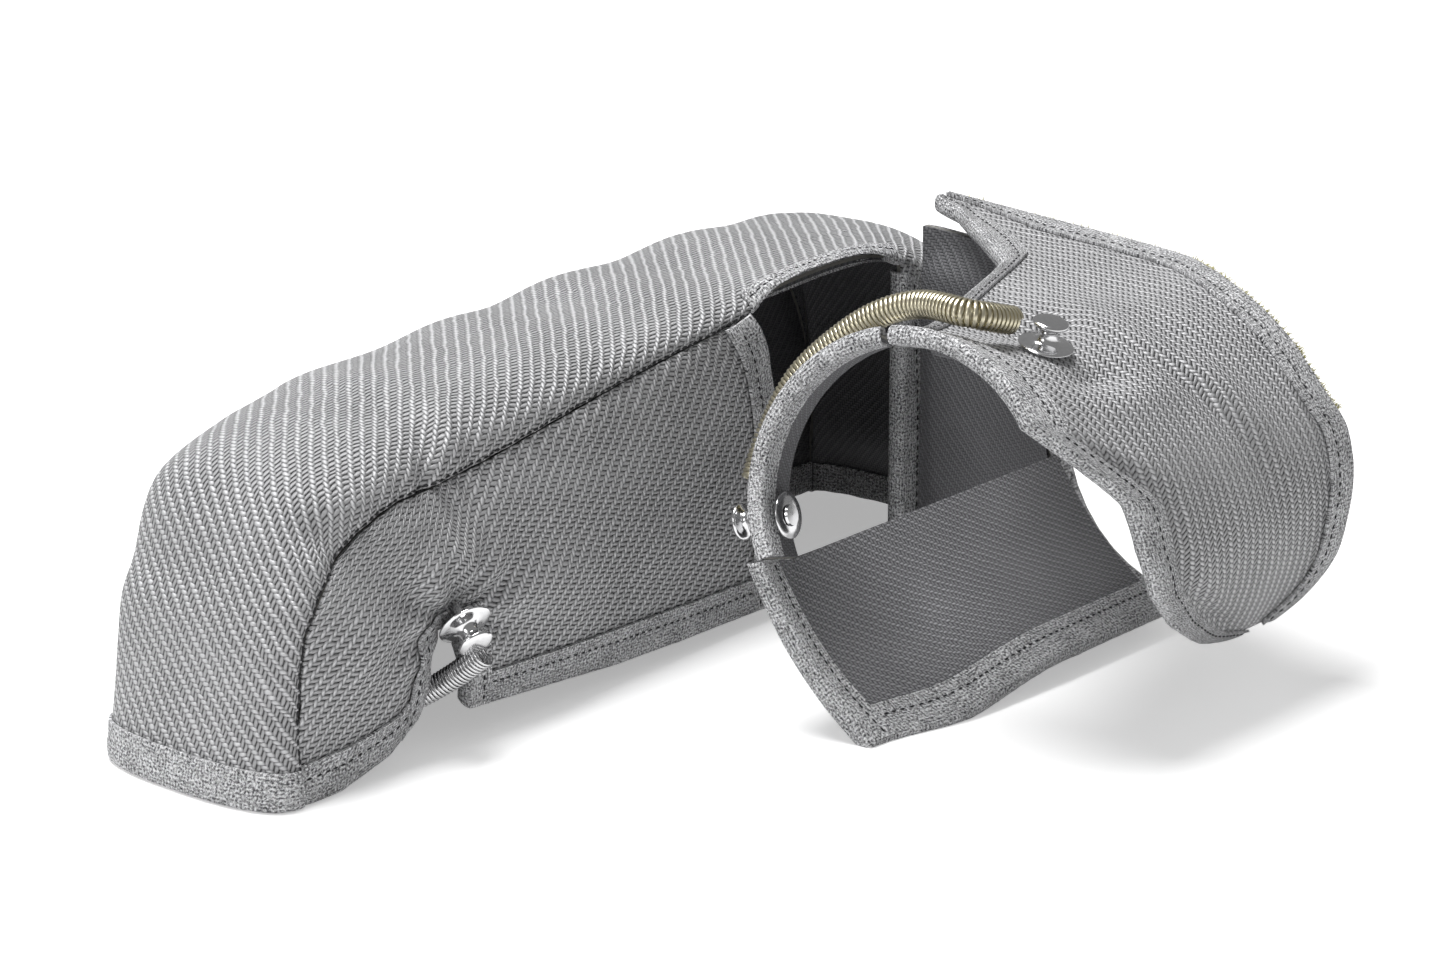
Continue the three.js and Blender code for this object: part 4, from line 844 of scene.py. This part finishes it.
front = Wall(front_wall, (0, FRONT_LAST), (0, 1), 1.0, front_relief, front_pressed)
front_i = np.unique(np.r_[np.linspace(0, SLIT_LEFT, 40), np.linspace(SLIT_LEFT, SLIT_RIGHT, 9),
                          np.linspace(SLIT_RIGHT, FRONT_LAST, 120)])
front_s = np.unique(np.r_[np.linspace(0, SLIT_TOP, 36), np.linspace(SLIT_TOP, 1, 44)])
mid_i = (front_i[1:] + front_i[:-1]) / 2
mid_s = (front_s[1:] + front_s[:-1]) / 2
in_slit = ((mid_i > SLIT_LEFT) & (mid_i < SLIT_RIGHT))[:, None] & (mid_s < SLIT_TOP)[None, :]
layers("front_wall", front, front_i, front_s, ~in_slit)

rear = Wall(rear_wall, (0, 1), (0, 1), -1.0,
            lambda i, s, p: 0.5 * ripple(p[..., 0], p[..., 2], 40, 4) * np.sin(math.pi * s)
            + seam_dip((1 - s) * 90),
            pressed=lambda i, s: 1 - smooth(s, 0.14, 0.3) + 0.8 * smooth(s, 0.9, 1)
            + 0.8 * (1 - smooth(i, 0, 0.04)) + 0.8 * smooth(i, 0.96, 1))
layers("rear_wall", rear, np.linspace(0, 1, 150), np.linspace(0, 1, 50))

side = Wall(right_front_wall, (0, 1), (0, 1), 1.0, None,
            pressed=lambda i, s: 1 - smooth(s, 0.14, 0.26) * smooth(i, 0.25, 0.5)
            + 0.8 * smooth(s, 0.9, 1))
layers("right_front_wall", side, np.linspace(0, 1, 30), np.linspace(0, 1, 50))


def barrel_relief(i, t, p):
    """The barrel hood's unevenness, by X and the way round."""
    x = p[..., 0]
    s, left, right = barrel_row(i)
    from_left, from_right = x - left, right - x
    lift = 0.5 * ripple(x, s, 34, 12) * smooth(from_left, 8, 20) * smooth(from_right, 8, 20)
    # The hollow over the post, the ridge to its right, and the folds below it
    lift = lift - 5.0 * bump(x, 214, 13) * bump(s, 92, 10)
    lift = lift + 2.2 * bump(x, 236, 11) * bump(s, 80, 14)
    lift = lift - 2.6 * bump(x + 0.4 * s, 228, 14) * bump(s, 61, 5)
    lift = lift + 1.8 * bump(x + 0.4 * s, 232, 18) * bump(s, 50, 6)
    lift = lift - 2.2 * bump(x + 0.5 * s, 262, 5) * bump(s, 42, 26)
    lift = lift + 1.6 * bump(x + 0.5 * s, 274, 7) * bump(s, 40, 26)
    # The valley beside the cutout
    return lift - 2.6 * bump(from_left, 16, 6) * smooth(s, -38, -20) * (1 - smooth(s, 30, 42))


def unrolled_barrel(i, t):
    """Where a point lies on the barrel's cloth rolled out flat: the way round, and X."""
    s, left, right = barrel_row(i)
    way_round = BARREL_RADIUS * np.radians(np.minimum(s, LEAVE)) + np.maximum(s - LEAVE, 0)
    return way_round, left + (right - left) * t


def edge_free(i, t):
    """0 under the hems of the barrel hood's two sides, and 1 from 20 mm in."""
    _, left, right = barrel_row(np.asarray(i, float))
    width = right - left
    return smooth(t * width, 13, 20) * smooth((1 - t) * width, 13, 20)


barrel = Wall(barrel_hood, (0, BARREL_LAST), (0, 1), -1.0, barrel_relief,
              pressed=lambda i, t: 1 - smooth(i, 0.4, 1.4) * (1 - smooth(i, 16.2, 17)) * edge_free(i, t),
              weave=(math.pi / 4 - 0.17, -1.0), unrolled=unrolled_barrel)
layers("barrel_hood", barrel, np.linspace(0, BARREL_LAST, 220), np.linspace(0, 1, 110))


def right_cheek(t, j):
    """The cheek, upright across X, for t from the rim's round edge back to the long hood
    and j from the bottom to the top."""
    t, j = np.broadcast_arrays(np.asarray(t, float), np.asarray(j, float))
    slope = 1 / math.tan(math.radians(LEAVE))
    leave_y, leave_z = barrel_section(np.array(LEAVE))
    z = j * (leave_z + (CHEEK_FRONT - leave_y) * slope - 8.3)
    reach = np.sqrt(np.maximum(CHEEK_BORE ** 2 - (z - BARREL_Z) ** 2, 0))
    front = np.maximum(CHEEK_FRONT, BARREL_Y + reach)
    y = front + (-2.0 - front) * t
    z = z + (y - CHEEK_FRONT) * slope * j
    bulge = 1.2 * np.sin(math.pi * t) * np.sin(math.pi * j)
    return np.stack([303.6 + bulge, y, z - 0.9], -1)


cheek = Wall(right_cheek, (0, 1), (0, 1), 1.0,
             lambda t, j, p: -1.0 * (1 - smooth(t, 0, 0.08)) - 0.8 * smooth(t, 0.94, 1),
             pressed=lambda t, j: smooth(j, 0.86, 0.97) + 0.8 * smooth(t, 0.9, 1))
layers("right_cheek", cheek, np.linspace(0, 1, 60), np.linspace(0, 1, 90))

# The binding of the cheek's round edge: tape all round its thickness
bow = np.radians(np.linspace(76.5, -76.5, 90))
rim_section = np.array([
    (295.9, 0), (300, 0), (303.9, 0), (304.2, -1.2), (303.7, -2.7), (302, -3.4), (298, -3.5),
    (296.2, -2.9), (295.7, -1.4)])
grid = (len(bow), len(rim_section))
hoop = CHEEK_BORE - 0.35 + rim_section[:, 1]
uneven = 1 + 0.0015 * np.sin(40 * bow)
rim_points = np.stack([np.broadcast_to(rim_section[:, 0], grid),
                       BARREL_Y + hoop * (np.cos(bow) * uneven)[:, None],
                       BARREL_Z + hoop * (np.sin(bow) * uneven)[:, None]], -1)
index = np.arange(grid[0] * grid[1]).reshape(grid)
ahead = np.roll(index, -1, 1)
rim_faces = np.stack([index[:-1], index[1:], ahead[1:], ahead[:-1]], -1).reshape(-1, 4).tolist()
rim_faces += [index[0].tolist(), index[-1, ::-1].tolist()]
rim_flat = np.stack(np.broadcast_arrays((bow * CHEEK_BORE)[:, None], 1.6 * np.arange(grid[1])), -1)
piece = mesh_piece("rim_rear_tape", rim_points, rim_faces, tape_knit, rim_flat)
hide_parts("rim_rear_binding")

collar = Wall(outlet_collar, (0, 1), (0, 1), -1.0, None, pressed=lambda t, d: 1 + 0 * t)
layers("outlet_collar", collar, np.linspace(0, 1, 70), np.linspace(0, 1, 14))

ramp = Wall(skirt, (0, 1), (0, 1), 1.0, None,
            pressed=lambda t, j: 1 - smooth(t, 0.02, 0.2) * (1 - smooth(t, 0.78, 0.86))
            * smooth(j, 0.16, 0.26))
# The skirt's cloth is the darker copy of the twill; its darkness is painted shade
layers("skirt", ramp, np.linspace(0, 1, 50), np.linspace(0, 1, 100), cloth=skirt_twill_painted_shade)


# Bindings

def line(u, v, count=120):
    """Pairs of a wall's u and v, evenly from one end to the other."""
    u = np.linspace(*u, count) if np.ndim(u) else np.full(count, float(u))
    v = np.linspace(*v, count) if np.ndim(v) else np.full(count, float(v))
    return np.stack([u, v], -1)


binding("left_end_hem", top_wall, line(0.9, (0, 180)), line(0, (0, 180)), swell=0.4)
binding("right_end_hem", top_wall, line(LAST - 0.9, (0, 180)), line(LAST, (0, 180)))
binding("window_top_hem", top_wall, line((16.1, 19.9), 32), line((16.1, 19.9), 0))
binding("front_hem_left", front, line((0, SLIT_LEFT), 0.155), line((0, SLIT_LEFT), 0))
binding("front_hem_right", front, line((SLIT_RIGHT, FRONT_LAST), 0.14),
        line((SLIT_RIGHT, FRONT_LAST), 0))
binding("slit_left_hem", front, line(2.4, (0, SLIT_TOP), 50), line(SLIT_LEFT, (0, SLIT_TOP), 50),
        over=0.6)
binding("slit_right_hem", front, line(4.55, (0, SLIT_TOP), 50), line(SLIT_RIGHT, (0, SLIT_TOP), 50),
        over=0.6)
binding("window_left_hem", front, line(9.1, (0, 0.99), 90), line(FRONT_LAST, (0, 0.99), 90), over=0.6)
binding("rear_hem", rear, line((0, 1), 0.15), line((0, 1), 0))
binding("right_front_hem", side, line((0, 1), 0.14, 50), line((0, 1), 0, 50))
binding("window_right_hem", side, line(0.27, (0.0, 0.97), 60), line(0, (0.0, 0.97), 60), over=0.6)


def barrel_edge(first, last, right, count, band=12.0):
    """The border and the edge of a hem on the barrel hood's left or right side."""
    i = np.linspace(first, last, count)
    _, left_x, right_x = barrel_row(i)
    share = np.minimum(band / (right_x - left_x), 0.32)
    border = np.stack([i, 1 - share if right else share], -1)
    return border, np.stack([i, np.ones(count) if right else np.zeros(count)], -1)


RIM_PARTING = 6
binding("cutout_hem", barrel, *barrel_edge(0, RING_FIRST + 0.12, False, 110))
binding("outlet_hem", barrel, *barrel_edge(RING_FIRST, RING_LAST, False, 80))
binding("flap_hem", barrel, *barrel_edge(RING_LAST, BARREL_LAST, False, 110))
binding("rim_lower_hem", barrel, *barrel_edge(0, RIM_PARTING, True, 90))
binding("rim_upper_hem", barrel, *barrel_edge(RIM_PARTING, BARREL_LAST, True, 160))
binding("collar_hem", collar, line((0, 1), 0.5), line((0, 1), 0))
binding("skirt_side_hem", ramp, line((0, 1), 0.19, 70), line((0, 1), 0, 70), over=0.6)
binding("skirt_front_hem", ramp, line(0.82, (0, 1)), line(1, (0, 1)))

# The seams' own thread
ks = np.linspace(0, WINDOW_LEFT, 400)
path = top_wall.at(ks, 0 * ks + 1.0, -0.1)
STITCH_LINES.append((path, np.tile([0.0, -0.9, 0.4], (len(ks), 1)), 2.9, 0.42, 0.72))
stitches("sewing_thread", STITCH_LINES)


def fringe(name, roots, outward, count, seed):
    """Loose fibres from a cut edge: each is a thin three-sided spike, bent once."""
    turn = np.random.default_rng(seed)
    at = turn.uniform(0, len(roots) - 1, count)
    start = np.stack([np.interp(at, range(len(roots)), roots[:, n]) for n in range(3)], -1)
    way = np.stack([np.interp(at, range(len(roots)), outward[:, n]) for n in range(3)], -1)
    length = turn.uniform(1.0, 4.0, count)[:, None]
    first = unit(way + turn.normal(0, 0.45, (count, 3)))
    second = unit(first + turn.normal(0, 0.5, (count, 3)))
    side = unit(np.cross(first, [0.3, 0.5, 0.8]))
    other = np.cross(first, side)
    points = []
    for centre, thick in ((start - first * 0.6, 0.3), (start + first * length * 0.5, 0.22),
                          (start + first * length * 0.5 + second * length * 0.5, 0.04)):
        for angle in (0, 2.1, 4.2):
            points.append(centre + thick * (side * math.cos(angle) + other * math.sin(angle)))
    points = np.stack(points, 1)
    base = np.arange(count)[:, None, None] * 9
    faces = np.array([(a, b, b + 3, a + 3) for low in (0, 3)
                      for a, b in ((low, low + 1), (low + 1, low + 2), (low + 2, low))])[None]
    quads = (faces + base).reshape(-1, 4).tolist()
    caps = (np.array([(2, 1, 0), (6, 7, 8)])[None] + base).reshape(-1, 3).tolist()
    piece = mesh_piece(name, points, quads + caps, fringe_yarn)


rows_up = np.linspace(RIM_PARTING - 0.5, BARREL_LAST - 0.2, 200)
edge_out = barrel.at(rows_up, 1 + 0 * rows_up, 1.8)
edge_way = unit(edge_out - barrel.at(rows_up, 0.97 + 0 * rows_up, 1.8))
fringe("rim_upper_fringe", edge_out + edge_way * 1.8, edge_way, 2200, 5)


# Turned posts

def revolved(name, profile, seat, axis, material, around=56, hollow=False):
    """A profile of radius and height turned round an axis. A hollow one closes on itself."""
    radius, height = np.array(profile, float).T
    turn = np.linspace(0, 2 * math.pi, around, endpoint=False)
    axis = unit(np.array(axis, float))
    first = unit(np.cross(axis, [0.3, 0.9, 0.1]))
    second = np.cross(axis, first)
    circle = np.cos(turn)[:, None] * first + np.sin(turn)[:, None] * second
    points = seat + axis * height[:, None, None] + circle[None] * radius[:, None, None]
    if not hollow:
        return mesh_piece(name, points, tube_faces(*points.shape[:2]), material)
    index = np.arange(points.size // 3).reshape(points.shape[:2])
    ahead = np.roll(index, -1, 1)
    above, ahead_above = np.roll(index, -1, 0), np.roll(ahead, -1, 0)
    faces = np.stack([index, ahead, ahead_above, above], -1).reshape(-1, 4)
    return mesh_piece(name, points, faces, material)


def post_profile(wall):
    """A lacing post: rivet head, stem, thin domed foot, waist and mushroom head."""
    back = -(wall + 1.7)
    low = [(0.05, back - 1), (3.3, back - 0.8), (3.5, back), (1.8, back), (1.8, 0.0)]
    foot = [(8.3, 0.0), (8.7, 0.2), (8.75, 0.5), (8.5, 0.75), (6.6, 1.05), (4.8, 1.5), (3.7, 2.2),
            (3.2, 3.2)]
    head = [(3.0, 4.6), (3.1, 5.6), (3.7, 6.3), (4.9, 6.8), (5.6, 7.3), (5.75, 7.8), (5.5, 8.3),
            (4.6, 8.65), (2.5, 8.75), (0.05, 8.8)]
    return low + foot + head


def add_post(name, seat, axis, wall):
    """A post seated on a wall of the given thickness, and the washer behind it."""
    piece = revolved(f"{name}_turned", post_profile(wall), np.array(seat), axis, polished)
    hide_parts(f"{name}_post")
    near, far = -(wall + 0.4), -(wall + 1.3)
    ring_shape = [(2.2, near), (2.2, far), (7.2, far), (7.5, far + 0.3), (7.5, near - 0.3), (7.2, near)]
    piece = revolved(f"{name}_washer_turned", ring_shape, np.array(seat), axis, polished, hollow=True)
    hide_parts(f"{name}_washer")


CROWN_TURN = 77.0
crown_angle = math.radians(CROWN_TURN)
crown_axis = np.array([0, -math.cos(crown_angle), math.sin(crown_angle)])
crown_y, crown_z = barrel_section(np.array(CROWN_TURN))
crown_seat = np.array([199.0, crown_y, crown_z]) + crown_axis * 1.8
fold_way = unit(np.array([-0.12, -0.86, -0.46]))
slit_seat = np.array([SLIT_X, -1.2, 44.5]) + fold_way * 6.6
slit_axis = unit(np.array([-0.19, -0.78, -0.59]))
collar_axis = ring(198.0, 0.0, 1.0) - OUTLET_CENTRE
collar_seat = ring(198.0, 9.5, OUTLET_RADIUS + 1.6)
add_post("crown", crown_seat, crown_axis, 10.2)
add_post("slit", slit_seat, slit_axis, 15.3)
add_post("collar", collar_seat, collar_axis, 8.3)


# Springs

def coil(name, path, turns, radius, wire, material, per_turn=18, sides=6):
    """A helix of wire round a smooth path: a circle of the wire's size carried along the path's
    own turning frame."""
    steps = int(turns * per_turn)
    t = np.linspace(0, len(path) - 1, 600)
    centre = through(np.array(path, float), t)
    way = np.r_[0, np.cumsum(np.linalg.norm(np.diff(centre, axis=0), axis=1))]
    even = np.linspace(0, way[-1], steps + 1)
    centre = np.stack([np.interp(even, way, centre[:, n]) for n in range(3)], -1)
    # The wire's stiffness rounds the path's bends
    half = max(2, int(SPRING_BEND * steps / way[-1]))
    start = centre[0] - (centre[1] - centre[0]) * np.arange(half, 0, -1)[:, None]
    end = centre[-1] + (centre[-1] - centre[-2]) * np.arange(1, half + 1)[:, None]
    longer = np.concatenate([start, centre, end])
    weights = np.hanning(2 * half + 3)[1:-1]
    centre = np.stack([np.convolve(longer[:, n], weights / weights.sum(), "valid") for n in range(3)], -1)
    along = unit(np.gradient(centre, axis=0))
    first = unit(np.cross(along, np.array([0.2, 0.3, 1.0])))
    second = np.cross(along, first)
    angle = np.linspace(0, 2 * math.pi * turns, steps + 1)[:, None]
    helix = centre + radius * (first * np.cos(angle) + second * np.sin(angle))
    tangent = unit(np.gradient(helix, axis=0))
    outward = unit(helix - centre)
    outward = unit(outward - tangent * (outward * tangent).sum(-1, keepdims=True))
    across = np.cross(tangent, outward)
    around = np.linspace(0, 2 * math.pi, sides, endpoint=False)
    points = (helix[:, None] + wire / 2 * (outward[:, None] * np.cos(around)[None, :, None]
                                           + across[:, None] * np.sin(around)[None, :, None]))
    return mesh_piece(name, points, tube_faces(*points.shape[:2]), material)


# The top spring lies on the collar, then goes over the hood to the crown post
ON_COLLAR = OUTLET_RADIUS + 0.3 + 4.5
top_path = [ring(turn, depth, ON_COLLAR + up) for turn, depth, up in (
    (186.0, 10.5, 0.6), (170.0, 13.5, 0.4), (150.0, 13.5, 0.3), (130.0, 13.5, 0.3),
    (114.0, 13.5, 2.1), (100.0, 14.0, 3.2))]
top_path += [(176, -113.5, 135.2), (184, -118, 132.8), (191.5, -119, 130.6)]
piece = coil("top_spring_coil", top_path, 78, 3.9, 1.35, yellowed_wire)
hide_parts("top_spring")
slit_path = [(67.5, -12.5, 32), (65, -6, 26), (60.5, 2, 19.5), (53, 10, 14), (44, 16.5, 11)]
piece = coil("slit_spring_coil", slit_path, 34, 3.6, 0.95, bright_wire)
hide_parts("slit_spring")


# The studio

floor_material, tree = new_material("studio_floor")
rays = node(tree, "ShaderNodeLightPath").node.outputs
seen = node(tree, "ShaderNodeMath", [rays["Is Camera Ray"], rays["Is Glossy Ray"]], operation="MAXIMUM")
seen = node(tree, "ShaderNodeMath", [seen, rays["Is Transmission Ray"]], operation="MAXIMUM")
glow = node(tree, "ShaderNodeMath", [seen, 0.4], operation="MULTIPLY")
matt = node(tree, "ShaderNodeBsdfDiffuse", {"Color": (0.86, 0.86, 0.86, 1)})
white = node(tree, "ShaderNodeEmission", {"Color": (1, 1, 1, 1), "Strength": glow})
finish_material(tree, node(tree, "ShaderNodeAddShader", [matt, white]))
mesh = bpy.data.meshes.new("floor")
FLOOR_REACH, FLOOR_Z = 30, -0.0002
corners = [(-1, -1), (1, -1), (1, 1), (-1, 1)]
mesh.from_pydata([(x * FLOOR_REACH, y * FLOOR_REACH, FLOOR_Z) for x, y in corners], [], [(0, 1, 2, 3)])
mesh.materials.append(floor_material)
floor = bpy.data.objects.new("floor", mesh)
bpy.context.collection.objects.link(floor)
floor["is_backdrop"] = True

world = bpy.data.worlds.new("studio")
bpy.context.scene.world = world
world.use_nodes = True
tree = world.node_tree
tree.nodes.clear()
rays = node(tree, "ShaderNodeLightPath").node.outputs
seen = node(tree, "ShaderNodeMath", [rays["Is Camera Ray"], rays["Is Transmission Ray"]],
            operation="MAXIMUM")
power = node(tree, "ShaderNodeMix", {0: seen, 2: 0.27, 3: 1.0}, data_type="FLOAT")
sky = node(tree, "ShaderNodeBackground", {"Color": (1, 1, 1, 1), "Strength": power})
node(tree, "ShaderNodeOutputWorld", {"Surface": sky})


def softbox(name, place, target, size, power):
    """A round lamp, its width in metres and its power in watts, turned to its target."""
    light = bpy.data.lights.new(name, "AREA")
    light.shape, light.size, light.energy = "DISK", size, power
    lamp = bpy.data.objects.new(name, light)
    lamp.location = place
    lamp.rotation_euler = (Vector(target) - Vector(place)).to_track_quat("-Z", "Y").to_euler()
    bpy.context.collection.objects.link(lamp)


softbox("overhead", (-0.1, 0.3, 1.5), (0, 0, 0.05), 0.8, 28)
softbox("left", (-1.5, 0.1, 0.75), (-0.1, 0, 0.05), 0.7, 4.5)

# The camera was fitted to the photograph: 50 degrees round and 18 degrees up
data = bpy.data.cameras.new("camera")
data.lens = 112.1
data.sensor_width = 36
data.clip_start, data.clip_end = 0.01, 200
camera = bpy.data.objects.new("camera", data)
ahead = Vector((0.7286, 0.6113, -0.3090))
right_way = Vector((0.6428, -0.7660, 0))
up_way = right_way.cross(ahead)
camera.matrix_world = Matrix((
    (right_way.x, up_way.x, -ahead.x, 0), (right_way.y, up_way.y, -ahead.y, 0),
    (right_way.z, up_way.z, -ahead.z, 0), (0, 0, 0, 1)))
camera.location = (np.array([-874.5, -898.4, 507.1]) + SHIFT) / 1000
bpy.context.collection.objects.link(camera)
bpy.context.scene.camera = camera
bpy.context.scene.view_settings.view_transform = "Standard"

boxes = {"cad": cad_box, "visual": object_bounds()}
{key: np.array(value).tolist() for key, value in boxes.items()}
